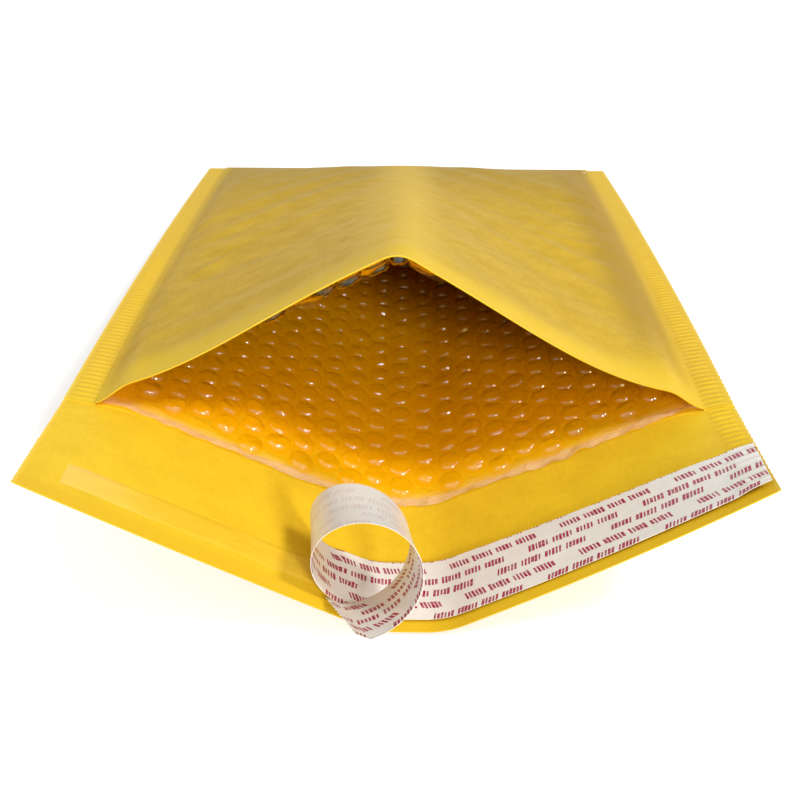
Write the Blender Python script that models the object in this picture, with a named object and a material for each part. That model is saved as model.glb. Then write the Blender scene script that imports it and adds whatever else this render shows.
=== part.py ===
"""Kraft bubble mailer that lies on its back with its mouth open.

The envelope is one sheet of kraft paper, folded at the far end and crimped along both sides. Its
lower panel runs on as a flap with a band of adhesive, and a release liner is peeled half off it.
The origin is under the keel line, a little way inside the mouth. +Z is up, and the mouth faces -Y.

A sheet is described in its own developed coordinates: u runs across it from the keel line, and v
runs along it from the far fold to the mouth and on over the flap.
"""

import math

import bmesh
import bpy
from mathutils import Vector
from mathutils.geometry import delaunay_2d_cdt

# Driving dimensions of the flat mailer, in metres
MAILER_WIDTH = 0.241
BODY_LENGTH = 0.308
FLAP_LENGTH = 0.062
SEAM_WIDTH = 0.0105
KRAFT_THICKNESS = 0.0004
FILM_THICKNESS = 0.0003
CLEARANCE = 0.0003
ORIGIN_INSIDE_MOUTH = 0.006

# How the lower panel lies: a shallow trough whose sides rise towards the mouth
MOUTH_SLOPE = math.radians(24.2)
SEAM_SLOPE_SHARE = 0.5
KEEL_FLAT = 0.0045
KEEL_ROUND = 0.012
SEAM_EASE = 0.020
KEEL_DRIFT = 0.005
DRIFT_START = 0.8
FLAP_LIFT = 0.0014
LEAST_RUN = 0.15

# How the upper panel stands: a ridge that rises towards the mouth
RIDGE_RISE = 0.0492
RIDGE_ROUND = 0.05
RIDGE_FLAT = 0.0012
BOW_LEFT = -0.0012
BOW_RIGHT = -0.0048
SWAY = 0.0013
PADDING = 0.0042
PADDING_SIDE = 0.014
PADDING_FOLD = 0.022
WRINKLE_HEIGHT = 0.0011
WRINKLE_LENGTH = 0.052
WRINKLE_FADE = 0.035
WRINKLE_SLOPE = 1.2
WRINKLE_FAN_LEFT = 4.6
WRINKLE_FAN_RIGHT = 2.2
WRINKLE_SWING = 0.9
WRINKLE_SWING_RATE = 1 / 2.7
WRINKLE_RIGHT_PHASE = 0.8

# The crimped side seams
CRIMP_PITCH = 0.0032
CRIMP_HEIGHT = 0.0004
CRIMP_INNER_MARGIN = 0.0008
CRIMP_OUTER_MARGIN = 0.0020
SEAM_WALL = 0.0006

# The bubble film and its bubbles
FILM_SETBACK = 0.0012
FILM_LIP = 0.0045
BUBBLE_PITCH = 0.011
BUBBLE_DIAMETER = 0.0098
BUBBLE_HEIGHT = 0.0036
BUBBLE_SIDES = 6
BUBBLE_ZONE_LOWER = 0.081
BUBBLE_ZONE_UPPER = 0.0135
BUBBLE_EDGE_LOWER = 0.009
BUBBLE_EDGE_UPPER = 0.017
BUBBLE_FRONT_MARGIN = 0.0095
BUBBLE_LEAST_MARGIN = 0.00665
BUBBLE_CLEAR_RADIUS = 0.0061
BUBBLE_RINGS = ((0.5, 0.0), (0.36, 0.78))
SIDE_ROOM = 0.0006

# The adhesive band and its release liner
ADHESIVE_WIDTH = 0.0115
ADHESIVE_THICKNESS = 0.0002
ADHESIVE_INSET = 0.0095
ADHESIVE_END_MARGIN = 0.011
LINER_WIDTH = 0.0254
LINER_THICKNESS = 0.0002
LINER_INSET = 0.0040
LINER_END_MARGIN = 0.001
CURL_START = -0.0213
CURL_RADIUS_FIRST = 0.0185
CURL_RADIUS_LAST = 0.0119
CURL_TURN = math.radians(360)
CURL_DRIFT = 0.0245
CURL_LEAN = 0.475
CURL_LEAN_POWER = 0.78
CURL_TWIST = 0.16
TAIL_LENGTH = 0.004

# Mesh spacing
BODY_ROWS = 10
FLAP_ROWS = 4
SIDE_COLUMNS = 5
CURL_STEPS = 24
LINER_COLUMNS = 12
ADHESIVE_COLUMNS = 12
SHOULDER_SHARES = (0.0, 0.3, 0.65, 1.0)
FOLD_SHARES = (0.0, 0.2, 0.55, 1.0)
LEAST_COLUMN = 0.002
NORMAL_STEP = 0.0001

HALF_WIDTH = MAILER_WIDTH / 2
POCKET_HALF = HALF_WIDTH - SEAM_WIDTH
FLAP_END = BODY_LENGTH + FLAP_LENGTH
POCKET_EDGE = 2 * (CLEARANCE + FILM_THICKNESS) + SIDE_ROOM
SHARP_ANGLE = math.radians(40)


def clamp(value, low=0.0, high=1.0):
    """Keep a value between two limits."""
    return max(low, min(high, value))


def spread(start, stop, count):
    """Return count + 1 evenly spaced values from start to stop."""
    return [start + (stop - start) * index / count for index in range(count + 1)]


def walk_section(distance, slope, seam_slope):
    """Walk across half a section of the lower sheet and return x and z there."""
    straight = POCKET_HALF - KEEL_FLAT - KEEL_ROUND - SEAM_EASE
    stretches = (
        (KEEL_FLAT, 0.0, 0.0),
        (KEEL_ROUND, 0.0, slope),
        (straight, slope, slope),
        (SEAM_EASE, slope, seam_slope),
        (HALF_WIDTH, seam_slope, seam_slope),
    )
    x = 0.0
    z = 0.0
    left = distance
    for length, first, last in stretches:
        step = min(left, length)
        if step <= 0:
            break
        bend = (last - first) / length
        end = first + bend * step
        if abs(bend) < 1e-9:
            x += step * math.cos(first)
            z += step * math.sin(first)
        else:
            x += (math.sin(end) - math.sin(first)) / bend
            z += (math.cos(first) - math.cos(end)) / bend
        left -= step
    return x, z


def along_body(distance, sideways, rise):
    """Return y of a point whose sheet distance from the far fold is partly used by sideways and rise."""
    run = distance * distance - sideways * sideways - rise * rise
    return BODY_LENGTH - ORIGIN_INSIDE_MOUTH - math.sqrt(max(run, (LEAST_RUN * distance) ** 2))


def lower_face(u, v):
    """Inner face of the lower panel and of the flap."""
    slope = math.asin(math.sin(MOUTH_SLOPE) * v / BODY_LENGTH)
    past_mouth = clamp((v - BODY_LENGTH) / FLAP_LENGTH)
    share = SEAM_SLOPE_SHARE + (1 - SEAM_SLOPE_SHARE) * past_mouth
    x, z = walk_section(abs(u), slope, slope * share)
    y = along_body(v, abs(u) - x, z)
    drift_span = FLAP_END - DRIFT_START * BODY_LENGTH
    drift = KEEL_DRIFT * clamp((v - DRIFT_START * BODY_LENGTH) / drift_span) ** 2
    lift = FLAP_LIFT * past_mouth ** 2
    x = math.copysign(x, u) + drift * (1 - (u / HALF_WIDTH) ** 2)
    return Vector((x, y, z + lift + KRAFT_THICKNESS))


def ridge_profile(across):
    """Height share of the ridge, 0 at a side seam and 1 on top, where across is 1 and 0."""
    rounded = max(across, (across * across / RIDGE_ROUND + RIDGE_ROUND) / 2)
    height = (1 - (rounded if across < RIDGE_ROUND else across)) / (1 - RIDGE_ROUND / 2)
    return clamp(height)


def wrinkle(u, v):
    """Broad creases that run from the side seams up to the ridge, steeper at the far end."""
    from_mouth = clamp((BODY_LENGTH - v) / WRINKLE_FADE)
    from_fold = clamp(v / WRINKLE_FADE)
    from_seam = clamp((POCKET_HALF - abs(u)) / WRINKLE_FADE)
    fan = WRINKLE_FAN_RIGHT if u > 0 else WRINKLE_FAN_LEFT
    at_ridge = (v - WRINKLE_SLOPE * abs(u)) / (1 - fan * abs(u))
    phase = math.tau * at_ridge / WRINKLE_LENGTH
    swing = WRINKLE_SWING * math.sin(phase * WRINKLE_SWING_RATE)
    wave = math.sin(phase + swing + (WRINKLE_RIGHT_PHASE if u > 0 else 0.0))
    return WRINKLE_HEIGHT * wave * from_mouth * from_fold * from_seam


def upper_face(u, v):
    """Inner face of the upper panel, for u within the pocket."""
    across = clamp(abs(u) / POCKET_HALF)
    opened = v / BODY_LENGTH
    seam = lower_face(math.copysign(POCKET_HALF, u), v)
    side_round = (1 - math.cos(math.pi * clamp((POCKET_HALF - abs(u)) / PADDING_SIDE))) / 2
    fold_round = math.sin(math.pi / 2 * clamp(v / PADDING_FOLD))
    padding = PADDING * side_round * fold_round
    bow = (BOW_RIGHT if u > 0 else BOW_LEFT) * math.sin(math.pi * across)
    sway = SWAY * math.sin(math.tau * across)
    ridge = (RIDGE_RISE * ridge_profile(across) + bow + sway) * opened
    rise = math.sqrt(padding ** 2 + max(ridge, 0.0) ** 2) + wrinkle(u, v)
    x = seam.x * across if across else 0.0
    height = seam.z - KRAFT_THICKNESS + rise
    y = along_body(v, abs(u) - abs(x), height)
    return Vector((x, y, height + KRAFT_THICKNESS + POCKET_EDGE))


def offset(surface, u, v, inward):
    """Point on a surface moved by a distance along its normal into the pocket."""
    span_u = surface(u + NORMAL_STEP, v) - surface(u - NORMAL_STEP, v)
    span_v = surface(u, v + NORMAL_STEP) - surface(u, max(v - NORMAL_STEP, 0.0))
    normal = span_v.cross(span_u).normalized()
    sign = 1 if surface is lower_face else -1
    return surface(u, v) + normal * (inward * sign)


def pocket_columns(half_width, middle):
    """Columns across the pocket, closer at the side seams and at the keel or the ridge."""
    keel_end = KEEL_FLAT + KEEL_ROUND
    shoulder = [half_width - PADDING_SIDE * share for share in SHOULDER_SHARES]
    straight = spread(half_width - PADDING_SIDE, keel_end, SIDE_COLUMNS)[1:]
    side = shoulder + straight + [middle + KEEL_ROUND / 2, middle]
    return [-value for value in side] + side[::-1]


def body_rows(first, last):
    """Rows from the far fold to the mouth, closer at the fold."""
    near_fold = [first + PADDING_FOLD * share for share in FOLD_SHARES]
    return near_fold + spread(near_fold[-1], last, BODY_ROWS)[1:]


class Body:
    """Vertices and faces of one closed solid."""

    def __init__(self):
        self.points = []
        self.faces = []

    def add(self, point):
        """Add a vertex and return its index."""
        self.points.append(point)
        return len(self.points) - 1

    def grid(self, rows):
        """Add rows of points and return their indices."""
        return [[self.add(point) for point in row] for row in rows]

    def skin(self, rows):
        """Face a grid of vertex indices."""
        for upper, lower in zip(rows, rows[1:]):
            self.strip(upper, lower)

    def strip(self, first, second):
        """Join two equal lines of vertices with quads."""
        for index in range(len(first) - 1):
            self.faces.append((first[index], first[index + 1], second[index + 1], second[index]))

    def build(self, name, material):
        """Make the object, with its faces turned outwards."""
        mesh = bpy.data.meshes.new(name)
        mesh.from_pydata(self.points, [], self.faces)
        shape = bmesh.new()
        shape.from_mesh(mesh)
        bmesh.ops.recalc_face_normals(shape, faces=shape.faces)
        bmesh.ops.triangulate(shape, faces=shape.faces, quad_method="FIXED")
        shape.to_mesh(mesh)
        shape.free()
        mesh.shade_smooth()
        mesh.set_sharp_from_angle(angle=SHARP_ANGLE)
        mesh.materials.append(material)
        item = bpy.data.objects.new(name, mesh)
        bpy.context.scene.collection.objects.link(item)
        return item


def fill_patch(body, surface, level, loop, inner):
    """Face a patch of a surface inside a closed loop, with relief at its inner points.

    loop is a list of (vertex, (u, v)) and inner one of (u, v, height), and level is the patch's own
    distance from the surface.
    """
    places = [Vector(place) for _, place in loop] + [Vector((u, v)) for u, v, _ in inner]
    result = delaunay_2d_cdt(places, [], [list(range(len(loop)))], 1, 1e-7)
    corners = [vertex for vertex, _ in loop]
    for u, v, height in inner:
        corners.append(body.add(offset(surface, u, v, level + height)))
    origins = [source[0] for source in result[3]]
    for face in result[2]:
        body.faces.append(tuple(corners[origins[index]] for index in face))


def outline_loop(rows, places):
    """Closed loop of (vertex, place) round a grid of vertices and its grid of places."""
    grid = [list(zip(indices, spots)) for indices, spots in zip(rows, places)]
    right = [row[-1] for row in grid[1:-1]]
    left = [row[0] for row in grid[1:-1]]
    return grid[0] + right + grid[-1][::-1] + left[::-1]


def make_material(name, colour, roughness, transmission=0.0):
    """Plain Principled material."""
    material = bpy.data.materials.new(name)
    material.use_nodes = True
    shader = material.node_tree.nodes["Principled BSDF"]
    shader.inputs["Base Color"].default_value = (*colour, 1.0)
    shader.inputs["Roughness"].default_value = roughness
    shader.inputs["Metallic"].default_value = 0.0
    shader.inputs["Transmission Weight"].default_value = transmission
    material.diffuse_color = (*colour, 1.0)
    return material


def crimp_points(side, first, last):
    """Crests and valleys of a seam's crimp between two distances from the far fold."""
    inner = side * (POCKET_HALF + SEAM_WALL + CRIMP_INNER_MARGIN)
    outer = side * (HALF_WIDTH - CRIMP_OUTER_MARGIN)
    points = []
    for index in range(1, int((last - first) / (CRIMP_PITCH / 2))):
        v = first + index * CRIMP_PITCH / 2
        height = CRIMP_HEIGHT * (index % 2)
        points += [(inner, v, height), (outer, v, height)]
    return points


def add_crimp(body, side, level, grid, columns, rows, last):
    """Face a seam band that is crimped from its first row up to a distance from the far fold."""
    band = slice(0, 2) if side < 0 else slice(-2, None)
    vertices = [line[band] for line in grid]
    places = [[(u, v) for u in columns[band]] for v in rows]
    loop = outline_loop(vertices, places)
    fill_patch(body, lower_face, level, loop, crimp_points(side, rows[0], last))


def make_envelope(material):
    """Folded kraft sheet: two panels, crimped side seams, one open mouth and a flap."""
    body = Body()
    lower_pocket = pocket_columns(POCKET_HALF, KEEL_FLAT)
    upper_pocket = pocket_columns(POCKET_HALF, RIDGE_FLAT)
    wall = POCKET_HALF + SEAM_WALL
    lower_full = [-HALF_WIDTH, -wall] + lower_pocket + [wall, HALF_WIDTH]
    upper_full = [-HALF_WIDTH, -wall] + upper_pocket + [wall, HALF_WIDTH]
    rows = body_rows(0.0, BODY_LENGTH)
    flap_rows = spread(BODY_LENGTH, FLAP_END, FLAP_ROWS)[1:]
    fold = Vector((0.0, KRAFT_THICKNESS, 0.0))

    def under(u, v):
        return offset(lower_face, u, v, -KRAFT_THICKNESS) + (fold if v == 0.0 else Vector())

    def over(u, v):
        if abs(u) > POCKET_HALF:
            point = offset(lower_face, u, v, KRAFT_THICKNESS)
        else:
            point = offset(upper_face, u, v, -KRAFT_THICKNESS)
        return point + (fold if v == 0.0 else Vector())

    bottom = body.grid([[under(u, v) for u in lower_full] for v in rows + flap_rows])
    top = body.grid([[over(u, v) for u in upper_full] for v in rows])
    floor = body.grid([[lower_face(u, v) for u in lower_pocket] for v in rows])
    roof = body.grid([[upper_face(u, v) for u in upper_pocket] for v in rows])
    flap = body.grid([[lower_face(u, v) for u in lower_full] for v in flap_rows])
    body.skin(bottom)
    body.skin([line[1:-1] for line in top])
    for side in (-1, 1):
        add_crimp(body, side, KRAFT_THICKNESS, top, upper_full, rows, BODY_LENGTH)
    body.skin(floor)
    body.skin(roof)
    body.strip(bottom[0], top[0])
    body.strip(floor[0], roof[0])

    mouth = len(rows) - 1
    flap_start = floor[-1]
    left_edge = [body.add(lower_face(u, BODY_LENGTH)) for u in lower_full[:2]]
    right_edge = [body.add(lower_face(u, BODY_LENGTH)) for u in lower_full[-2:]]
    hinge = left_edge + flap_start + right_edge
    body.skin([line[:-1] for line in [hinge] + flap])
    crimp_end = FLAP_END - LINER_INSET - LINER_WIDTH
    add_crimp(body, 1, 0.0, [hinge] + flap, lower_full, [BODY_LENGTH] + flap_rows, crimp_end)
    body.strip(bottom[-1], flap[-1])
    body.strip(roof[-1], top[-1][2:-2])
    for side in (0, -1):
        step = 1 if side == 0 else -1
        floor_side = [row[side] for row in floor]
        body.strip(floor_side, [row[side] for row in roof])
        under_side = [row[side] for row in bottom]
        over_side = [row[side] for row in top]
        body.strip(under_side[:mouth], over_side[:mouth])
        under_pair = (under_side[mouth - 1], under_side[mouth])
        body.faces.append((*under_pair, hinge[side], over_side[mouth], over_side[mouth - 1]))
        body.strip(under_side[mouth:], [hinge[side]] + [row[side] for row in flap])
        outer, foot = hinge[side], hinge[side + step]
        over_outer, over_foot, shoulder = (top[-1][side + step * index] for index in range(3))
        body.faces.append((outer, foot, over_foot, over_outer))
        body.faces.append((foot, floor[-1][side], roof[-1][side], shoulder, over_foot))
    return body.build("kraft_envelope", material)


def lower_film_front(u):
    """Distance of the lower film's front edge from the far fold."""
    return BODY_LENGTH - FILM_SETBACK + FILM_LIP * (1 - (u / POCKET_HALF) ** 2)


def bubble_centres(front, zone, edge):
    """Centres of the bubbles, in columns along the mailer that are staggered by half a pitch."""
    column_pitch = BUBBLE_PITCH * math.sqrt(3) / 2
    reach = int((POCKET_HALF - edge) / column_pitch)
    centres = []
    for column in range(-reach, reach + 1):
        stagger = 0.5 * (column % 2)
        for row in range(int(zone / BUBBLE_PITCH)):
            v = front - BUBBLE_FRONT_MARGIN - (row + stagger) * BUBBLE_PITCH
            centres.append((column * column_pitch, v))
    return centres


def bubble_points(centre):
    """Points of one bubble as u, v and height above the film: two rings and the crown."""
    points = [(centre[0], centre[1], BUBBLE_HEIGHT)]
    for radius_share, height_share in BUBBLE_RINGS:
        for side in range(BUBBLE_SIDES):
            turn = math.tau * side / BUBBLE_SIDES
            radius = BUBBLE_DIAMETER * radius_share
            u = centre[0] + radius * math.cos(turn)
            v = centre[1] + radius * math.sin(turn)
            points.append((u, v, BUBBLE_HEIGHT * height_share))
    return points


def add_film_layer(body, surface, middle, front, zone, centres):
    """Add one layer of the film and return its outer and inner vertex grids.

    front gives the distance of the layer's front edge from the far fold at each u, and zone is how
    far back from it the bubbles are formed.
    """
    outer_half = POCKET_HALF - CLEARANCE
    inner_half = outer_half - FILM_THICKNESS
    outer_columns = pocket_columns(outer_half, middle)
    inner_columns = pocket_columns(inner_half, middle)
    inward = CLEARANCE + FILM_THICKNESS
    count = len(body_rows(0.0, BODY_LENGTH))

    def places(columns, start):
        lines = [body_rows(start, front(u)) for u in columns]
        return [[(u, line[row]) for u, line in zip(columns, lines)] for row in range(count)]

    outer_places = places(outer_columns, CLEARANCE)
    inner_places = places(inner_columns, inward)
    outer = body.grid([[offset(surface, u, v, CLEARANCE) for u, v in row] for row in outer_places])
    inner = body.grid([[offset(surface, u, v, inward) for u, v in row] for row in inner_places])
    body.skin(outer)

    smooth = max(index for index, row in enumerate(inner_places) if row[0][1] < front(inner_half) - zone)
    body.skin(inner[:smooth + 1])
    relief = []
    for u, v in (place for row in inner_places[smooth + 1:-1] for place in row[1:-1]):
        if all(math.hypot(u - centre[0], v - centre[1]) > BUBBLE_CLEAR_RADIUS for centre in centres):
            relief.append((u, v, 0.0))
    for centre in centres:
        relief += bubble_points(centre)
    fill_patch(body, surface, inward, outline_loop(inner[smooth:], inner_places[smooth:]), relief)
    return outer, inner


def make_lining(material):
    """Bubble film folded at the far end, with bubbles where the open mouth shows them."""
    body = Body()
    upper_front = BODY_LENGTH - FILM_SETBACK
    lower_centres = [
        (u, v) for u, v in bubble_centres(BODY_LENGTH + FILM_LIP, BUBBLE_ZONE_LOWER, BUBBLE_EDGE_LOWER)
        if v < lower_film_front(u) - BUBBLE_LEAST_MARGIN
    ]
    upper_centres = bubble_centres(upper_front, BUBBLE_ZONE_UPPER, BUBBLE_EDGE_UPPER)
    lower = add_film_layer(
        body, lower_face, KEEL_FLAT, lower_film_front, BUBBLE_ZONE_LOWER + BUBBLE_PITCH, lower_centres,
    )
    upper = add_film_layer(
        body, upper_face, RIDGE_FLAT, lambda u: upper_front, BUBBLE_ZONE_UPPER + BUBBLE_PITCH, upper_centres,
    )
    for lower_skin, upper_skin in zip(lower, upper):
        body.strip(lower_skin[0], upper_skin[0])
        for side in (0, -1):
            body.strip([row[side] for row in lower_skin], [row[side] for row in upper_skin])
    for outer, inner in (lower, upper):
        body.strip(outer[-1], inner[-1])
    for side in (0, -1):
        corners = (lower[0], upper[0], upper[1], lower[1])
        body.faces.append(tuple(skin[-1][side] for skin in corners))
    return body.build("bubble_lining", material)


def ribbon(body, sections):
    """Face a ribbon whose sections each have four corners in order.

    Its two skins are split on the same diagonals, so that a thin twisted ribbon never crosses itself.
    """
    rings = [[body.add(point) for point in section] for section in sections]
    for first, second in zip(rings, rings[1:]):
        for edge in ((0, 1), (3, 2), (1, 2), (0, 3)):
            body.strip([first[corner] for corner in edge], [second[corner] for corner in edge])
    body.faces.append(tuple(rings[0]))
    body.faces.append(tuple(rings[-1]))


def flap_section(u, near, far, low, high):
    """Corners of a strip's section on the flap, between two distances from the flap's front edge."""
    return [
        offset(lower_face, u, FLAP_END - near, low),
        offset(lower_face, u, FLAP_END - far, low),
        offset(lower_face, u, FLAP_END - far, high),
        offset(lower_face, u, FLAP_END - near, high),
    ]


def strip_columns(first, last, count):
    """Columns of a strip on the flap, with one at each change of the keel's slope."""
    keel_end = KEEL_FLAT + KEEL_ROUND
    keel = [side * place for side in (-1, 1) for place in (KEEL_FLAT, KEEL_FLAT + KEEL_ROUND / 2, keel_end)]
    low, high = min(first, last), max(first, last)
    inside = [u for u in keel if low + LEAST_COLUMN < u < high - LEAST_COLUMN]
    even = [u for u in spread(low, high, count) if all(abs(u - k) > LEAST_COLUMN for k in inside)]
    return sorted(even + inside, reverse=first > last)


def make_adhesive(material):
    """Band of adhesive across the flap."""
    body = Body()
    end = HALF_WIDTH - ADHESIVE_END_MARGIN
    low = CLEARANCE
    high = low + ADHESIVE_THICKNESS
    far = ADHESIVE_INSET + ADHESIVE_WIDTH
    columns = strip_columns(-end, end, ADHESIVE_COLUMNS)
    ribbon(body, [flap_section(u, ADHESIVE_INSET, far, low, high) for u in columns])
    return body.build("adhesive_strip", material)


def curl_section(place, along, outward, front, share, thickness):
    """One section of the curl: it slants with the drift and leans more as the curl goes round."""
    slant = 2 * CURL_DRIFT / (CURL_TURN * (CURL_RADIUS_FIRST + CURL_RADIUS_LAST))
    lean = Vector((CURL_TWIST * share, 0.0, CURL_LEAN * share ** CURL_LEAN_POWER))
    edge = (front - along * slant + lean).normalized() * (LINER_WIDTH / 2)
    thick = outward * thickness
    return [place + edge, place - edge, place - edge - thick, place + edge - thick]


def curl_sections(low, high):
    """Sections of the liner's curl, which rolls up on the left, goes over and ends in front of itself."""
    middle = FLAP_END - LINER_INSET - LINER_WIDTH / 2
    place = offset(lower_face, CURL_START, middle, low)
    left = (lower_face(CURL_START - NORMAL_STEP, middle) - lower_face(CURL_START, middle)).normalized()
    front = (lower_face(CURL_START, middle + NORMAL_STEP) - lower_face(CURL_START, middle)).normalized()
    up = left.cross(front).normalized()
    turn_step = CURL_TURN / CURL_STEPS
    sections = []
    for step in range(CURL_STEPS):
        share = (step + 0.5) / CURL_STEPS
        radius = CURL_RADIUS_FIRST + (CURL_RADIUS_LAST - CURL_RADIUS_FIRST) * share
        chord = left * math.cos(share * CURL_TURN) + up * math.sin(share * CURL_TURN)
        place = place + chord * (radius * turn_step) + front * (2 * CURL_DRIFT * share / CURL_STEPS)
        turn = (step + 1) * turn_step
        along = left * math.cos(turn) + up * math.sin(turn)
        outward = left * math.sin(turn) - up * math.cos(turn)
        sections.append(curl_section(place, along, outward, front, turn / CURL_TURN, high - low))
    place = place + along * TAIL_LENGTH
    sections.append(curl_section(place, along, outward, front, 1.0, high - low))
    return sections


def make_liner(material):
    """Release liner: still stuck on the right half, peeled and curled over the keel."""
    body = Body()
    end = HALF_WIDTH - LINER_END_MARGIN
    low = 2 * CLEARANCE + ADHESIVE_THICKNESS
    high = low + LINER_THICKNESS
    far = LINER_INSET + LINER_WIDTH
    columns = strip_columns(end, CURL_START, LINER_COLUMNS)
    lying = [flap_section(u, LINER_INSET, far, low, high) for u in columns]
    ribbon(body, lying + curl_sections(low, high))
    return body.build("release_liner", material)


def main():
    """Build the mailer."""
    for item in list(bpy.data.objects):
        bpy.data.objects.remove(item)
    make_envelope(make_material("kraft_paper", (0.78, 0.50, 0.06), 0.75))
    make_lining(make_material("bubble_film", (0.85, 0.55, 0.16), 0.2, 0.5))
    make_adhesive(make_material("seal_adhesive", (0.90, 0.62, 0.16), 0.35))
    make_liner(make_material("liner_paper", (0.80, 0.77, 0.70), 0.5))


main()
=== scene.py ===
"""Visual model of a kraft bubble mailer that lies on its back with its mouth held open.

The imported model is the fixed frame. The mailer's sheets are described as they were cut, in their own
flat coordinates: u runs across from the keel line, and v runs along from the far fold to the mouth and
on over the flap. MailerForm says where each such point lies in space, and every piece is laid on it.
"""

from __future__ import annotations

import logging
import math
from dataclasses import dataclass, field
from enum import Enum

import bpy
import numpy as np
from mathutils import Matrix, Vector


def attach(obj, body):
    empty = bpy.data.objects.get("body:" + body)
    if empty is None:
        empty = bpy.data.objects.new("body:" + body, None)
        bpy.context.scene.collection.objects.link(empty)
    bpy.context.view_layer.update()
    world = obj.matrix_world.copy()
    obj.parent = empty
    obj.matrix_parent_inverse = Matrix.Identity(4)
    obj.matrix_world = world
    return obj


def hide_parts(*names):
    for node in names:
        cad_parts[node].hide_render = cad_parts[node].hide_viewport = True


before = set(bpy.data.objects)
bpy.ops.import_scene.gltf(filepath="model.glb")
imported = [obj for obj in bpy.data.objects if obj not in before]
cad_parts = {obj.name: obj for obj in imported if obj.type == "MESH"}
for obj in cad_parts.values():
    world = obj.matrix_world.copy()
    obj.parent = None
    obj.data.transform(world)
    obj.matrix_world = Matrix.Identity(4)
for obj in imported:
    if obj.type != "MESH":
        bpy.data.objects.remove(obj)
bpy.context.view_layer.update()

LOG = logging.getLogger("bubble_mailer")
SHEET_LAYER = "sheet"
SHARP_ANGLE = math.radians(70)
Colour = tuple[float, float, float]
Place = tuple[float, float, float]
Grid = np.ndarray
Socket = bpy.types.NodeSocket


class Face(Enum):
    """Which way a skin's faces look when its rows run along v and its columns along u."""

    DOWN = 0
    UP = 1


class Panel(Enum):
    """The two panels of the envelope, with the sign of the way up into the pocket."""

    LOWER = 1
    UPPER = -1

    @property
    def inner_face(self) -> Face:
        """Which way a skin that is seen from inside the pocket looks."""
        return Face.UP if self is Panel.LOWER else Face.DOWN


class Side(Enum):
    """The two long sides, seen from the mouth."""

    LEFT = -1
    RIGHT = 1


def smooth_step(low: float | Grid, high: float | Grid, value: Grid) -> Grid:
    """Rise smoothly from 0 to 1 as value goes from low to high.

    Args:
        low: Where the rise begins. It may be above high, and the curve then falls.
        high: Where it ends.
        value: The values to look up.

    Returns:
        One number from 0 to 1 for each value.
    """
    share = np.clip((np.asarray(value, float) - low) / (high - low), 0.0, 1.0)
    return share * share * (3.0 - 2.0 * share)


def even(start: float, stop: float, step: float) -> Grid:
    """Return evenly spaced values from start to stop, at most step apart."""
    return np.linspace(start, stop, max(2, int(math.ceil(abs(stop - start) / step)) + 1))


@dataclass(frozen=True)
class Ripples:
    """Smooth irregular relief, made of sine waves in many directions and the same on each run."""

    length: float
    seed: int
    waves: int = 14
    turn: float = 0.0
    fan: float = math.pi

    def at(self, u: Grid | float, v: Grid | float = 0.0) -> Grid:
        """Return the relief, mostly between -1 and 1, at flat coordinates.

        Args:
            u: Distance across.
            v: Distance along.

        Returns:
            One height for each point.
        """
        chance = np.random.default_rng(self.seed)
        total = np.zeros(np.broadcast(u, v).shape)
        for _ in range(self.waves):
            angle = self.turn + self.fan * chance.uniform(-0.5, 0.5)
            length = self.length * chance.uniform(0.6, 1.7)
            across = u * math.cos(angle) + v * math.sin(angle)
            total += np.sin(math.tau * across / length + chance.uniform(0.0, math.tau))
        return total / math.sqrt(2.0 * self.waves)


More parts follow.
